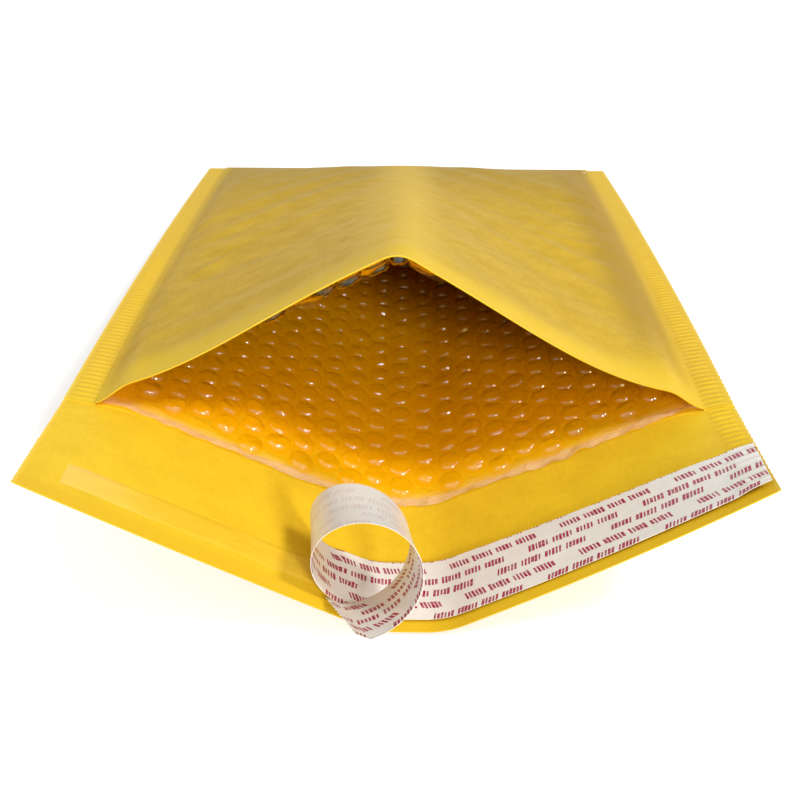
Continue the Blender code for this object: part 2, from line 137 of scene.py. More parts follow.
@dataclass(frozen=True)
class MailerForm:
    """Sizes of the flat mailer and how its two panels lie, in metres and radians."""

    width: float = 0.241
    body_length: float = 0.308
    flap_length: float = 0.062
    seam_width: float = 0.0105
    seam_wall: float = 0.0006
    kraft: float = 0.0004
    film: float = 0.0003
    clearance: float = 0.0003
    side_room: float = 0.0006
    origin_inside_mouth: float = 0.006
    mouth_slope: float = math.radians(24.2)
    seam_slope_share: float = 0.5
    keel_flat: float = 0.0045
    keel_round: float = 0.012
    seam_ease: float = 0.020
    keel_drift: float = 0.005
    drift_start: float = 0.8
    flap_lift: float = 0.0014
    least_run: float = 0.15
    ridge_rise: float = 0.0492
    ridge_round: float = 0.05
    bow_left: float = -0.0012
    bow_right: float = -0.0048
    sway: float = 0.0013
    padding: float = 0.0042
    padding_side: float = 0.014
    padding_fold: float = 0.022
    corner_drop: float = 0.75
    corner_start: float = 0.25
    corner_taper: float = 0.075
    wrinkle_height: float = 0.0011
    wrinkle_share: float = 0.4
    wrinkle_length: float = 0.052
    wrinkle_fade: float = 0.035
    wrinkle_slope: float = 1.2
    wrinkle_fan_left: float = 4.6
    wrinkle_fan_right: float = 2.2
    wrinkle_stray: float = 0.9
    wrinkle_stray_ratio: float = 2.7
    wrinkle_offset: float = 0.8
    calm_ridge: float = 0.035
    calm_fold: float = 0.030
    least_room: float = 0.0006
    room_start: float = 0.86
    step: float = 0.0001

    @property
    def half(self) -> float:
        """Half the mailer's width."""
        return self.width / 2

    @property
    def pocket_half(self) -> float:
        """Half the width of the pocket between the seams."""
        return self.half - self.seam_width

    @property
    def flap_end(self) -> float:
        """Distance of the flap's front edge from the far fold."""
        return self.body_length + self.flap_length

    def walk(self, distance: Grid, slope: Grid, seam_slope: Grid) -> tuple[Grid, Grid]:
        """Walk across half a section of the lower panel.

        Args:
            distance: How far to walk from the keel line.
            slope: Slope of the trough's side, in radians.
            seam_slope: Slope of the seam, in radians.

        Returns:
            The sideways distance and the height reached.
        """
        straight = self.pocket_half - self.keel_flat - self.keel_round - self.seam_ease
        level = np.zeros_like(slope)
        stretches = (
            (self.keel_flat, level, level),
            (self.keel_round, level, slope),
            (straight, slope, slope),
            (self.seam_ease, slope, seam_slope),
            (self.half, seam_slope, seam_slope),
        )
        x, z, left = np.zeros_like(slope), np.zeros_like(slope), distance.copy()
        for length, first, last in stretches:
            step = np.minimum(left, length)
            bend = (last - first) / length
            end = first + bend * step
            flat = np.abs(bend) < 1e-9
            safe = np.where(flat, 1.0, bend)
            x += np.where(flat, step * np.cos(first), (np.sin(end) - np.sin(first)) / safe)
            z += np.where(flat, step * np.sin(first), (np.cos(first) - np.cos(end)) / safe)
            left = left - step
        return x, z

    def along(self, distance: Grid, sideways: Grid, rise: Grid) -> Grid:
        """Find y where part of a sheet's length is used up by going sideways and up.

        Args:
            distance: Distance from the far fold, measured on the sheet.
            sideways: How far the sheet has gone sideways over that distance.
            rise: How far it has risen.

        Returns:
            One y for each point.
        """
        run = distance**2 - sideways**2 - rise**2
        least = (self.least_run * distance) ** 2
        return self.body_length - self.origin_inside_mouth - np.sqrt(np.maximum(run, least))

    def lower(self, u: Grid, v: Grid) -> Grid:
        """Return points of the lower panel's inner face, the flap among them.

        Args:
            u: Distance across.
            v: Distance along.

        Returns:
            Points with x, y and z on the last axis.
        """
        u, v = (grid.astype(float) for grid in np.broadcast_arrays(u, v))
        slope = np.arcsin(np.sin(self.mouth_slope) * v / self.body_length)
        past = np.clip((v - self.body_length) / self.flap_length, 0.0, 1.0)
        share = self.seam_slope_share + (1 - self.seam_slope_share) * past
        x, z = self.walk(np.abs(u), slope, slope * share)
        y = self.along(v, np.abs(u) - x, z)
        start = self.drift_start * self.body_length
        drift = self.keel_drift * np.clip((v - start) / (self.flap_end - start), 0.0, 1.0) ** 2
        x = np.copysign(x, u) + drift * (1 - (u / self.half) ** 2)
        return np.stack([x, y, z + self.flap_lift * past**2 + self.kraft], axis=-1)

    def at_ridge(self, u: Grid, v: Grid) -> Grid:
        """Return where on the ridge the crease through a point starts, as a distance along."""
        fan = np.where(u > 0, self.wrinkle_fan_right, self.wrinkle_fan_left)
        return (v - self.wrinkle_slope * np.abs(u)) / (1 - fan * np.abs(u))

    def wrinkle(self, u: Grid, v: Grid) -> Grid:
        """Find the height of the broad creases that run from the side seams up to the ridge.

        Args:
            u: Distance across.
            v: Distance along.

        Returns:
            One height for each point, calmer at the ridge line and the far fold.
        """
        fade = self.wrinkle_fade
        edge = np.clip((self.body_length - v) / fade, 0, 1) * np.clip(v / fade, 0, 1)
        edge = edge * np.clip((self.pocket_half - np.abs(u)) / fade, 0, 1)
        phase = math.tau * self.at_ridge(u, v) / self.wrinkle_length
        stray = self.wrinkle_stray * np.sin(phase / self.wrinkle_stray_ratio)
        wave = np.sin(phase + stray + np.where(u > 0, self.wrinkle_offset, 0.0))
        calm = smooth_step(0.0, self.calm_ridge, np.abs(u)) * smooth_step(0.0, self.calm_fold, v)
        return self.wrinkle_share * calm * (self.wrinkle_height * wave * edge)

    def upper(self, u: Grid, v: Grid) -> Grid:
        """Return points of the upper panel's inner face.

        Args:
            u: Distance across, within the pocket.
            v: Distance along.

        Returns:
            Points with x, y and z on the last axis.
        """
        u, v = (grid.astype(float) for grid in np.broadcast_arrays(u, v))
        across = np.clip(np.abs(u) / self.pocket_half, 0.0, 1.0)
        opened = v / self.body_length
        seam = self.lower(np.copysign(self.pocket_half, u), v)
        inwards = np.clip((self.pocket_half - np.abs(u)) / self.padding_side, 0, 1)
        side = (1 - np.cos(math.pi * inwards)) / 2
        fold = np.sin(math.pi / 2 * np.clip(v / self.padding_fold, 0, 1))
        rounded = np.maximum(across, (across**2 / self.ridge_round + self.ridge_round) / 2)
        share = (1 - np.where(across < self.ridge_round, rounded, across)) / (1 - self.ridge_round / 2)
        bow = np.where(u > 0, self.bow_right, self.bow_left) * np.sin(math.pi * across)
        bend = bow + self.sway * np.sin(math.tau * across)
        ridge = np.maximum((self.ridge_rise * np.clip(share, 0, 1) + bend) * opened, 0.0)
        near_corner = smooth_step(self.corner_start, 1.0, across) * smooth_step(self.corner_taper, 0.0, v)
        padding = self.padding * side * fold * (1 - self.corner_drop * near_corner)
        rise = np.sqrt(padding**2 + ridge**2) + self.wrinkle(u, v)
        x = seam[..., 0] * across
        height = seam[..., 2] - self.kraft + rise
        y = self.along(v, np.abs(u) - np.abs(x), height)
        taper = smooth_step(0.0, self.corner_taper, v)
        taper = (taper + (1 - taper) * (1 - across)) * smooth_step(1.0, self.room_start, across)
        taper = taper * smooth_step(-0.004, 0.03, v)
        room = 2 * (self.clearance + self.film) + self.side_room
        edge = self.least_room + (room - self.least_room) * taper
        return np.stack([x, y, height + self.kraft + edge], axis=-1)

    def place(self, panel: Panel, u: Grid, v: Grid, inward: Grid | float) -> Grid:
        """Return points at a distance from a panel's inner face.

        Args:
            panel: The panel.
            u: Distance across.
            v: Distance along.
            inward: Distance from the inner face into the pocket, negative for outwards.

        Returns:
            Points with x, y and z on the last axis.
        """
        surface = self.lower if panel is Panel.LOWER else self.upper
        u, v, inward = np.broadcast_arrays(u, v, inward)
        span_u = surface(u + self.step, v) - surface(u - self.step, v)
        span_v = surface(u, v + self.step) - surface(u, np.maximum(v - self.step, 0.0))
        normal = np.cross(span_v, span_u)
        normal /= np.linalg.norm(normal, axis=-1, keepdims=True)
        return surface(u, v) + normal * (inward * panel.value)[..., None]


def link(item: bpy.types.Object) -> None:
    """Put an object in the scene."""
    bpy.context.scene.collection.objects.link(item)


@dataclass
class Draft:
    """Points, flat coordinates and faces of one piece before it becomes a mesh."""

    points: list[Grid] = field(default_factory=list)
    places: list[Grid] = field(default_factory=list)
    faces: list[Grid] = field(default_factory=list)
    slots: list[Grid] = field(default_factory=list)
    count: int = 0

    def add(self, points: Grid, u: Grid, v: Grid) -> Grid:
        """Add points.

        Args:
            points: Points with x, y and z on the last axis.
            u: Flat coordinate across, one for each point.
            v: Flat coordinate along.

        Returns:
            The points' indices, in the same layout.
        """
        shape = points.shape[:-1]
        flat = np.stack(np.broadcast_arrays(u, v, np.zeros(shape))[:2], axis=-1)
        self.points.append(points.reshape(-1, 3))
        self.places.append(flat.reshape(-1, 2))
        indices = np.arange(self.count, self.count + int(np.prod(shape))).reshape(shape)
        self.count += indices.size
        return indices

    def quads(self, rows: Grid, face: Face, slot: int = 0) -> None:
        """Face a grid of vertex indices.

        Args:
            rows: Indices, with v growing down the rows and u growing along them.
            face: Which way the faces look.
            slot: Number of the material slot.
        """
        corners = (rows[:-1, :-1], rows[:-1, 1:], rows[1:, 1:], rows[1:, :-1])
        quads = np.stack([corner.ravel() for corner in corners], axis=-1)
        self.faces.append(quads[:, ::-1] if face is Face.UP else quads)
        self.slots.append(np.full(len(quads), slot))

    def sheet(self, points: Grid, u: Grid, v: Grid, face: Face, slot: int = 0) -> Grid:
        """Add a grid of points with its faces.

        Args:
            points: Points with x, y and z on the last axis.
            u: Flat coordinate across, one for each point.
            v: Flat coordinate along.
            face: Which way the faces look.
            slot: Number of the material slot.

        Returns:
            The points' indices, in the same layout.
        """
        rows = self.add(points, u, v)
        self.quads(rows, face, slot)
        return rows

    def join(self, first: Grid, second: Grid, face: Face, slot: int = 0) -> None:
        """Face the strip between two equal lines of vertices."""
        self.quads(np.stack([first, second]), face, slot)

    def build(self, name: str, materials: list[bpy.types.Material]) -> bpy.types.Object:
        """Make the object.

        Args:
            name: Name of the piece.
            materials: One material for each slot.

        Returns:
            The object, linked to the scene.
        """
        mesh = bpy.data.meshes.new(name)
        faces = np.concatenate(self.faces)
        mesh.from_pydata(np.concatenate(self.points).tolist(), [], faces.tolist())
        flat = np.concatenate(self.places)
        layer = mesh.uv_layers.new(name=SHEET_LAYER)
        corner = np.empty(len(mesh.loops), dtype=np.int32)
        mesh.loops.foreach_get("vertex_index", corner)
        layer.data.foreach_set("uv", flat[corner].ravel())
        mesh.polygons.foreach_set("material_index", np.concatenate(self.slots).astype(np.int32))
        for material in materials:
            mesh.materials.append(material)
        mesh.shade_smooth()
        mesh.set_sharp_from_angle(angle=SHARP_ANGLE)
        mesh.update()
        piece = bpy.data.objects.new(name, mesh)
        link(piece)
        LOG.info("%s: %d points, %d faces", name, len(mesh.vertices), len(mesh.polygons))
        return piece


class Graph:
    """Short ways to add and link shader nodes in one tree."""

    def __init__(self, tree: bpy.types.NodeTree) -> None:
        """Work on a node tree."""
        self.tree = tree

    def add(self, kind: str, **values: object) -> bpy.types.Node:
        """Add a node.

        Args:
            kind: Blender's name of the node type, without its ShaderNode prefix.
            values: The same as for put.

        Returns:
            The node.
        """
        node = self.tree.nodes.new("ShaderNode" + kind)
        self.put(node, **values)
        return node

    def put(self, node: bpy.types.Node, **values: object) -> None:
        """Set up a node.

        Args:
            node: The node.
            values: Settings of the node, or values and links of its inputs, which are named in lower
                case with underscores. A colour has no alpha.
        """
        sockets = {socket.name.lower().replace(" ", "_"): socket for socket in reversed(node.inputs)}
        for name, value in values.items():
            if name in sockets:
                self.feed(sockets[name], value)
            else:
                setattr(node, name, value)

    def feed(self, socket: Socket, value: object) -> None:
        """Link an output to a socket, or set the socket's own value."""
        if isinstance(value, Socket):
            self.tree.links.new(value, socket)
        else:
            socket.default_value = (*value, 1.0) if socket.type == "RGBA" else value

    def math(self, operation: str, first: object, *others: object) -> Socket:
        """Return the result of a Math operation, taken from the left where it has several values.

        Args:
            operation: Blender's name of the operation.
            first: Number or output.
            others: More of them, or none for an operation on one value.

        Returns:
            The last node's output.
        """
        for other in others or (0.0,):
            node = self.add("Math", operation=operation)
            self.feed(node.inputs[0], first)
            self.feed(node.inputs[1], other)
            first = node.outputs[0]
        return first

    def weigh(self, *parts: tuple[Socket, float]) -> Socket:
        """Return the sum of outputs, each of them times its weight."""
        return self.math("ADD", *(self.math("MULTIPLY", output, weight) for output, weight in parts))

    def ramp(self, value: object, low: float, high: float, first: float = 0.0, last: float = 1.0) -> Socket:
        """Return a smooth change.

        Args:
            value: Output that drives the change.
            low: Where the change begins. It may be above high.
            high: Where it ends.
            first: Result before the change.
            last: Result after it.

        Returns:
            The node's output.
        """
        node = self.add("MapRange", interpolation_type="SMOOTHSTEP")
        for socket, setting in zip(node.inputs, (value, low, high, first, last)):
            self.feed(socket, setting)
        return node.outputs[0]

    def mix(self, factor: object, first: object, second: object) -> Socket:
        """Return a mix of two colours.

        Args:
            factor: How much of the second colour.
            first: Colour or output.
            second: Colour or output.

        Returns:
            The node's colour output.
        """
        node = self.add("Mix", data_type="RGBA")
        for index, value in ((0, factor), (6, first), (7, second)):
            self.feed(node.inputs[index], value)
        return node.outputs[2]

    def noise(self, vector: Socket, scale: float, detail: float = 2.0, roughness: float = 0.5) -> Socket:
        """Return a noise value at a vector."""
        node = self.add("TexNoise", vector=vector, scale=scale, detail=detail, roughness=roughness)
        return node.outputs["Fac"]

    def stretch(self, vector: Socket, scale: tuple[float, float, float], turn: float = 0.0) -> Socket:
        """Return a vector turned about Z and then scaled."""
        return self.add("Mapping", vector=vector, rotation=(0.0, 0.0, turn), scale=scale).outputs[0]

    def bump(self, height: Socket, strength: float, distance: float) -> Socket:
        """Return the normal of a surface with a fine relief."""
        return self.add("Bump", height=height, strength=strength, distance=distance).outputs[0]

    def rays(self, *kinds: str) -> Socket:
        """Return 1 for rays of the given kinds, in Blender's words for them, and 0 for the rest."""
        path = self.add("LightPath").outputs
        return self.math("MAXIMUM", *(path[f"Is {kind} Ray"] for kind in kinds))

    def flat_place(self) -> tuple[Socket, Socket, Socket]:
        """Return the sheet coordinates as a vector and as u and v."""
        vector = self.add("UVMap", uv_map=SHEET_LAYER).outputs[0]
        parts = self.add("SeparateXYZ", vector=vector).outputs
        return vector, parts[0], parts[1]


class Effect(Enum):
    """Node groups that more than one material uses."""

    FIBRES = "paper_fibres"
    CRINKLE = "film_crinkle"
    DASHES = "printed_dashes"


class EffectShelf:
    """Builds each shared node group once and places it in materials."""

    def __init__(self) -> None:
        """Start with no group built."""
        self.built: dict[Effect, bpy.types.NodeTree] = {}

    def start(self, effect: Effect, inputs: dict[str, float], *outputs: str) -> tuple[Graph, bpy.types.Node]:
        """Make an empty group.

        Args:
            effect: The group to make.
            inputs: Default value of each number input.
            outputs: Names of the number outputs.

        Returns:
            A graph of the group's tree, and its input node.
        """
        tree = bpy.data.node_groups.new(effect.value, "ShaderNodeTree")
        tree.interface.new_socket("Vector", in_out="INPUT", socket_type="NodeSocketVector")
        for name, value in inputs.items():
            socket = tree.interface.new_socket(name, in_out="INPUT", socket_type="NodeSocketFloat")
            socket.default_value = value
        for name in outputs:
            tree.interface.new_socket(name, in_out="OUTPUT", socket_type="NodeSocketFloat")
        self.built[effect] = tree
        return Graph(tree), tree.nodes.new("NodeGroupInput")

    def finish(self, graph: Graph, **outputs: Socket) -> None:
        """Link a group's outputs."""
        node = graph.tree.nodes.new("NodeGroupOutput")
        graph.put(node, **outputs)

    def scaled(self, graph: Graph, given: bpy.types.Node) -> Socket:
        """Return a group's vector times its scale."""
        vector, scale = given.outputs["Vector"], given.outputs["Scale"]
        return graph.add("VectorMath", operation="SCALE", vector=vector, scale=scale).outputs[0]

    def fibres(self) -> None:
        """Build the mottling and surface of paper pulp, in a vector of metres."""
        graph, given = self.start(Effect.FIBRES, {"Scale": 1.0}, "Tone", "Height")
        vector = self.scaled(graph, given)
        clouds = graph.noise(vector, 85.0, 3.0, 0.6)
        long_fibres = graph.noise(graph.stretch(vector, (1.0, 0.22, 1.0), 0.35), 950.0, 3.0, 0.6)
        cross_fibres = graph.noise(graph.stretch(vector, (0.2, 1.0, 1.0), -0.25), 800.0, 3.0, 0.6)
        fibre = graph.weigh((long_fibres, 0.5), (cross_fibres, 0.5))
        tone = graph.weigh((clouds, 0.45), (fibre, 0.55))
        height = graph.weigh((fibre, 0.75), (graph.noise(vector, 2600.0), 0.25))
        self.finish(graph, tone=tone, height=height)

    def crinkle(self) -> None:
        """Build the sharp little creases of thin film, in a vector of metres."""
        graph, given = self.start(Effect.CRINKLE, {"Scale": 1.0}, "Height")
        vector = self.scaled(graph, given)
        slanted = graph.stretch(vector, (1.0, 0.6, 1.0), 0.5)
        cells = graph.add("TexVoronoi", feature="SMOOTH_F1", vector=slanted, scale=260.0, smoothness=0.35)
        soft = graph.noise(vector, 330.0, 3.0, 0.55)
        fold = graph.math("ABSOLUTE", graph.math("SUBTRACT", graph.noise(vector, 190.0), 0.5))
        self.finish(graph, height=graph.weigh((cells.outputs["Distance"], 0.35), (soft, 0.4), (fold, -0.9)))

    def dashes(self) -> None:
        """Build rows of short printed bars: u runs along the ribbon, v across it, in metres."""
        rows_from, row_shift, row_turn, most_slant = 0.0265, 0.0273, 2.4, 0.0016
        bars_in_line, gaps = 33.0, ((0.165, 0.195), (0.345, 0.375), (0.56, 0.59), (0.78, 1.0))
        graph, given = self.start(Effect.DASHES, {"Row Pitch": 0.0051, "Bar Pitch": 0.00118}, "Ink")
        parts = graph.add("SeparateXYZ", vector=given.outputs["Vector"]).outputs
        row_place = graph.math("DIVIDE", graph.math("ADD", parts[1], rows_from), given.outputs["Row Pitch"])
        row = graph.math("FLOOR", row_place)
        in_row = graph.math("SUBTRACT", graph.math("FRACT", row_place), 0.5)
        turned = graph.math("SINE", graph.math("MULTIPLY", row, row_turn))
        slant = graph.math("MULTIPLY", turned, most_slant, in_row)
        along = graph.math("ADD", parts[0], graph.math("MULTIPLY", row, row_shift), slant)
        bar_place = graph.math("DIVIDE", along, given.outputs["Bar Pitch"])
        bar = graph.math("FLOOR", bar_place)
        seat = graph.add("CombineXYZ", x=bar, y=row).outputs[0]
        chance = graph.add("TexWhiteNoise", noise_dimensions="2D", vector=seat).outputs["Value"]
        wide = graph.ramp(chance, 0.0, 1.0, 0.25, 0.42)
        other_chance = graph.math("FRACT", graph.math("MULTIPLY", chance, 7.3))
        tall = graph.ramp(other_chance, 0.3, 0.7, 0.23, 0.28)
        offset = graph.math("ABSOLUTE", graph.math("SUBTRACT", graph.math("FRACT", bar_place), 0.5))
        in_line = graph.math("LESS_THAN", graph.math("ABSOLUTE", in_row), tall)
        ink = graph.math("MULTIPLY", graph.math("LESS_THAN", offset, wide), in_line)
        phase = graph.math("FRACT", graph.math("DIVIDE", bar, bars_in_line))
        for start, stop in gaps:
            before = graph.math("LESS_THAN", phase, start)
            after = graph.math("GREATER_THAN", phase, stop)
            ink = graph.math("MULTIPLY", ink, graph.math("MAXIMUM", before, after))
        self.finish(graph, ink=ink)

    def place(self, graph: Graph, effect: Effect, vector: Socket, **values: float) -> bpy.types.NodeOutputs:
        """Place a group in a material, building it the first time.

        Args:
            graph: The material's graph.
            effect: The group to place.
            vector: The coordinates it reads.
            values: Values of its other inputs, in lower case with underscores.

        Returns:
            The group's outputs.
        """
        makers = {Effect.FIBRES: self.fibres, Effect.CRINKLE: self.crinkle, Effect.DASHES: self.dashes}
        if effect not in self.built:
            makers[effect]()
        node = graph.add("Group", node_tree=self.built[effect])
        graph.put(node, vector=vector, **values)
        return node.outputs


SHELF = EffectShelf()


def new_material(name: str) -> tuple[bpy.types.Material, Graph, bpy.types.Node]:
    """Make a material.

    Args:
        name: Its name.

    Returns:
        The material, its graph and its Principled node.
    """
    material = bpy.data.materials.new(name)
    material.use_nodes = True
    return material, Graph(material.node_tree), material.node_tree.nodes["Principled BSDF"]


def see_through(graph: Graph, shader: bpy.types.Node, share: Socket, tint: Colour) -> None:
    """Mix a material's shader with a clear one.

    Args:
        graph: The material's graph.
        shader: Its Principled node.
        share: How much of the clear shader shows.
        tint: Colour of the clear shader.
    """
    clear = graph.add("BsdfTransparent", color=tint)
    blend = graph.add("MixShader")
    for socket, value in zip(blend.inputs, (share, shader.outputs[0], clear.outputs[0])):
        graph.feed(socket, value)
    graph.put(graph.tree.nodes["Material Output"], surface=blend.outputs[0])


class Area(Enum):
    """Areas of the kraft sheet, by the names of their materials."""

    # The panel's paper, painted darker than the flap's as shade.
    PANEL = "kraft_panel"
    FLAP = "kraft_flap"
    # The paper inside the pocket, painted lighter and redder as light coming through the paper.
    INSIDE = "kraft_inside"


@dataclass(frozen=True)
class KraftFinish:
    """Golden kraft paper, a little glossy, mottled by its pulp and paler where it is worn.

    colour and dark are the pulp's two tones. The strip along the front is painted light along the mouth on
    the panel and inside the pocket, and painted shade along the flap's front edge. far is the paper towards
    the far fold, darker there, and painted shade deep in the pocket.
    seam, hollow and ridge show on the panel alone: seam bands less dark than its shaded body, painted shade
    in the hollow and a painted highlight along the ridge.
    """

    area: Area
    colour: Colour
    dark: Colour
    # Painted light along the mouth on the panel and inside the pocket, painted shade along the flap's front
    # edge.
    painted_front_shading: Colour
    # Darker towards the far fold, which inside the pocket is painted shade.
    far: Colour = (0.0, 0.0, 0.0)
    # The seam bands, painted less dark than the panel's shaded body.
    seam: Colour = (0.71, 0.455, 0.030)
    # Painted shade in the hollow beside the right seam.
    hollow: Colour = (0.39, 0.230, 0.010)
    # Painted highlight along the ridge.
    ridge: Colour = (0.72, 0.475, 0.030)
    worn: Colour = (0.95, 0.72, 0.16)
    front_light_width: float = 0.030
    front_shade_band: float = 0.0095
    ridge_sheen_half: float = 0.024
    ridge_sheen_share: float = 0.7
    hollow_shade_width: float = 0.030
    worn_share: float = 0.3
    roughness: float = 0.55

    def paint_shading(self, graph: Graph, form: MailerForm, colour: Socket) -> Socket:
        """Paint a highlight along the panel's ridge and shade in the hollow beside its right seam, and
        colour its seams.

        Args:
            graph: The material's graph.
            form: The mailer's sizes.
            colour: The paper's colour.

        Returns:
            The colour with the painted highlight, the painted shade and the seam colour.
        """
        _, u, v = graph.flat_place()
        across = graph.math("ABSOLUTE", u)
        # Painted highlight along the ridge.
        top = graph.math("MULTIPLY", graph.ramp(across, self.ridge_sheen_half, 0.0), self.ridge_sheen_share)
        colour = graph.mix(top, colour, self.ridge)
        # Painted shade in the hollow beside the right seam, fading towards the mouth.
        beside = graph.ramp(u, form.pocket_half - self.hollow_shade_width, form.pocket_half - 0.013)
        behind = graph.ramp(v, form.body_length - 0.01, form.body_length - 0.07)
        colour = graph.mix(graph.math("MULTIPLY", beside, behind), colour, self.hollow)
        # Seam bands painted less dark than the panel's shaded body.
        on_seam = graph.ramp(across, form.pocket_half - 0.006, form.pocket_half + 0.004)
        return graph.mix(on_seam, colour, self.seam)

    def build(self, form: MailerForm) -> bpy.types.Material:
        """Make the material.

        Args:
            form: The mailer's sizes.

        Returns:
            The material.
        """
        material, graph, shader = new_material(self.area.value)
        vector, u, v = graph.flat_place()
        fibres = SHELF.place(graph, Effect.FIBRES, vector)
        colour = graph.mix(graph.ramp(fibres["Tone"], 0.36, 0.64), self.dark, self.colour)
        # The strip along the front: painted shade along the flap's front edge, painted light along the mouth
        # elsewhere.
        if self.area is Area.FLAP:
            front, full = form.flap_end - self.front_shade_band, form.flap_end - 0.45 * self.front_shade_band
        else:
            front, full = form.body_length - self.front_light_width, form.body_length
            far_from, far_to = (0.20, 0.07) if self.area is Area.INSIDE else (0.16, 0.0)
            # Darker towards the far fold; inside the pocket this is painted shade.
            colour = graph.mix(graph.ramp(v, far_from, far_to), colour, self.far)
        # Painted highlight on the panel's ridge and painted shade in the hollow beside its right seam.
        if self.area is Area.PANEL:
            colour = self.paint_shading(graph, form, colour)
        colour = graph.mix(graph.ramp(v, front, full), colour, self.painted_front_shading)
        edge = graph.ramp(graph.math("ABSOLUTE", u), form.half - 0.0016, form.half - 0.0002)
        soft = graph.noise(graph.stretch(vector, (1.0, 0.55, 1.0), 0.6), 60.0)
        graph.put(
            shader,
            base_color=graph.mix(graph.math("MULTIPLY", edge, self.worn_share), colour, self.worn),
            roughness=graph.ramp(fibres["Tone"], 0.3, 0.7, self.roughness + 0.07, self.roughness - 0.05),
            specular_ior_level=0.18,
            normal=graph.bump(graph.weigh((fibres["Height"], 0.16), (soft, 1.0)), 0.40, 0.0012),
        )
        return material


@dataclass(frozen=True)
class FilmFinish:
    """Clear amber bubble film, glossy and crinkled, darker where it turns away."""

    name: str = "amber_bubble_film"
    colour: Colour = (1.0, 0.90, 0.40)
    rim: Colour = (0.86, 0.54, 0.10)
    shade: Colour = (1.0, 0.92, 0.50)

    def build(self) -> bpy.types.Material:
        """Make the material, which is plainly clear for all rays but those that look at it.

        Returns:
            The material.
        """
        material, graph, shader = new_material(self.name)
        vector, _, _ = graph.flat_place()
        crinkle = SHELF.place(graph, Effect.CRINKLE, vector)
        turned = graph.ramp(graph.add("LayerWeight").outputs["Facing"], 0.50, 0.92)
        graph.put(
            shader,
            base_color=graph.mix(turned, self.colour, self.rim),
            transmission_weight=1.0,
            ior=1.42,
            specular_ior_level=0.7,
            roughness=0.02,
            coat_weight=1.0,
            coat_ior=1.5,
            coat_roughness=0.035,
            normal=graph.bump(crinkle["Height"], 1.0, 0.0020),
        )
        see_through(graph, shader, graph.rays("Shadow", "Diffuse", "Glossy"), self.shade)
        return material


@dataclass(frozen=True)
class FilmBorderFinish:
    """Cloudy border of the film in front of its bubbles, where the light catches its crumples."""

    lip: float
    name: str = "cloudy_film_border"
    colour: Colour = (0.98, 0.74, 0.46)
    shade: Colour = (1.0, 0.94, 0.62)
    clear_behind: float = 0.92
    clear_at_edge: float = 0.52
    width: float = 0.0050
    trim: float = 0.0015

    def build(self, form: MailerForm) -> bpy.types.Material:
        """Make the material.

        Args:
            form: The mailer's sizes.

        Returns:
            The material.
        """
        material, graph, shader = new_material(self.name)
        vector, u, v = graph.flat_place()
        crinkle = SHELF.place(graph, Effect.CRINKLE, vector)
        graph.put(
            shader,
            base_color=self.colour,
            roughness=0.16,
            coat_weight=1.0,
            coat_roughness=0.05,
            normal=graph.bump(crinkle["Height"], 0.8, 0.0014),
        )
        bowed = graph.math("MULTIPLY", u, u, self.lip / form.pocket_half**2)
        edge = form.body_length + self.lip - self.trim
        place = graph.math("ADD", v, bowed)
        low, high = edge - self.width, edge - 0.4 * self.width
        clear = graph.ramp(place, low, high, self.clear_behind, self.clear_at_edge)
        see_through(graph, shader, clear, self.shade)
        return material


@dataclass(frozen=True)
class AdhesiveFinish:
    """Tacky amber adhesive, slightly glossy and uneven."""

    name: str = "tacky_adhesive"
    colour: Colour = (0.84, 0.545, 0.030)
    dark: Colour = (0.79, 0.50, 0.022)

    def build(self) -> bpy.types.Material:
        """Make the material.

        Returns:
            The material.
        """
        material, graph, shader = new_material(self.name)
        vector, _, _ = graph.flat_place()
        crinkle = SHELF.place(graph, Effect.CRINKLE, vector, scale=0.8)
        streaks = graph.noise(graph.stretch(vector, (0.12, 1.0, 1.0)), 700.0)
        graph.put(
            shader,
            base_color=graph.mix(graph.ramp(streaks, 0.3, 0.7), self.dark, self.colour),
            roughness=graph.ramp(streaks, 0.3, 0.7, 0.30, 0.42),
            coat_weight=0.35,
            coat_roughness=0.25,
            normal=graph.bump(crinkle["Height"], 0.25, 0.0006),
        )
        return material


@dataclass(frozen=True)
class LinerFinish:
    """Coated release paper with rows of printed bars, which show faintly through its back."""

    name: str
    ink_strength: float
    paper: Colour = (0.81, 0.78, 0.71)
    ink: Colour = (0.34, 0.008, 0.050)
    roughness: float = 0.38
    dark_share: float = 0.93

    def build(self) -> bpy.types.Material:
        """Make the material.

        Returns:
            The material.
        """
        material, graph, shader = new_material(self.name)
        vector, _, _ = graph.flat_place()
        fibres = SHELF.place(graph, Effect.FIBRES, vector, scale=1.4)
        dark = tuple(self.dark_share * part for part in self.paper)
        paper = graph.mix(graph.ramp(fibres["Tone"], 0.35, 0.65), dark, self.paper)
        dashes = SHELF.place(graph, Effect.DASHES, vector)
        uneven = graph.ramp(graph.noise(vector, 900.0), 0.3, 0.6, 0.78, 1.0)
        ink = graph.math("MULTIPLY", dashes["Ink"], uneven, self.ink_strength)
        soft = graph.noise(graph.stretch(vector, (1.0, 0.4, 1.0)), 110.0)
        graph.put(
            shader,
            base_color=graph.mix(ink, paper, self.ink),
            roughness=graph.ramp(fibres["Tone"], 0.3, 0.7, self.roughness + 0.05, self.roughness - 0.04),
            coat_weight=0.25,
            coat_roughness=0.22,
            normal=graph.bump(graph.weigh((fibres["Height"], 0.08), (soft, 1.0)), 0.22, 0.0009),
        )
        return material


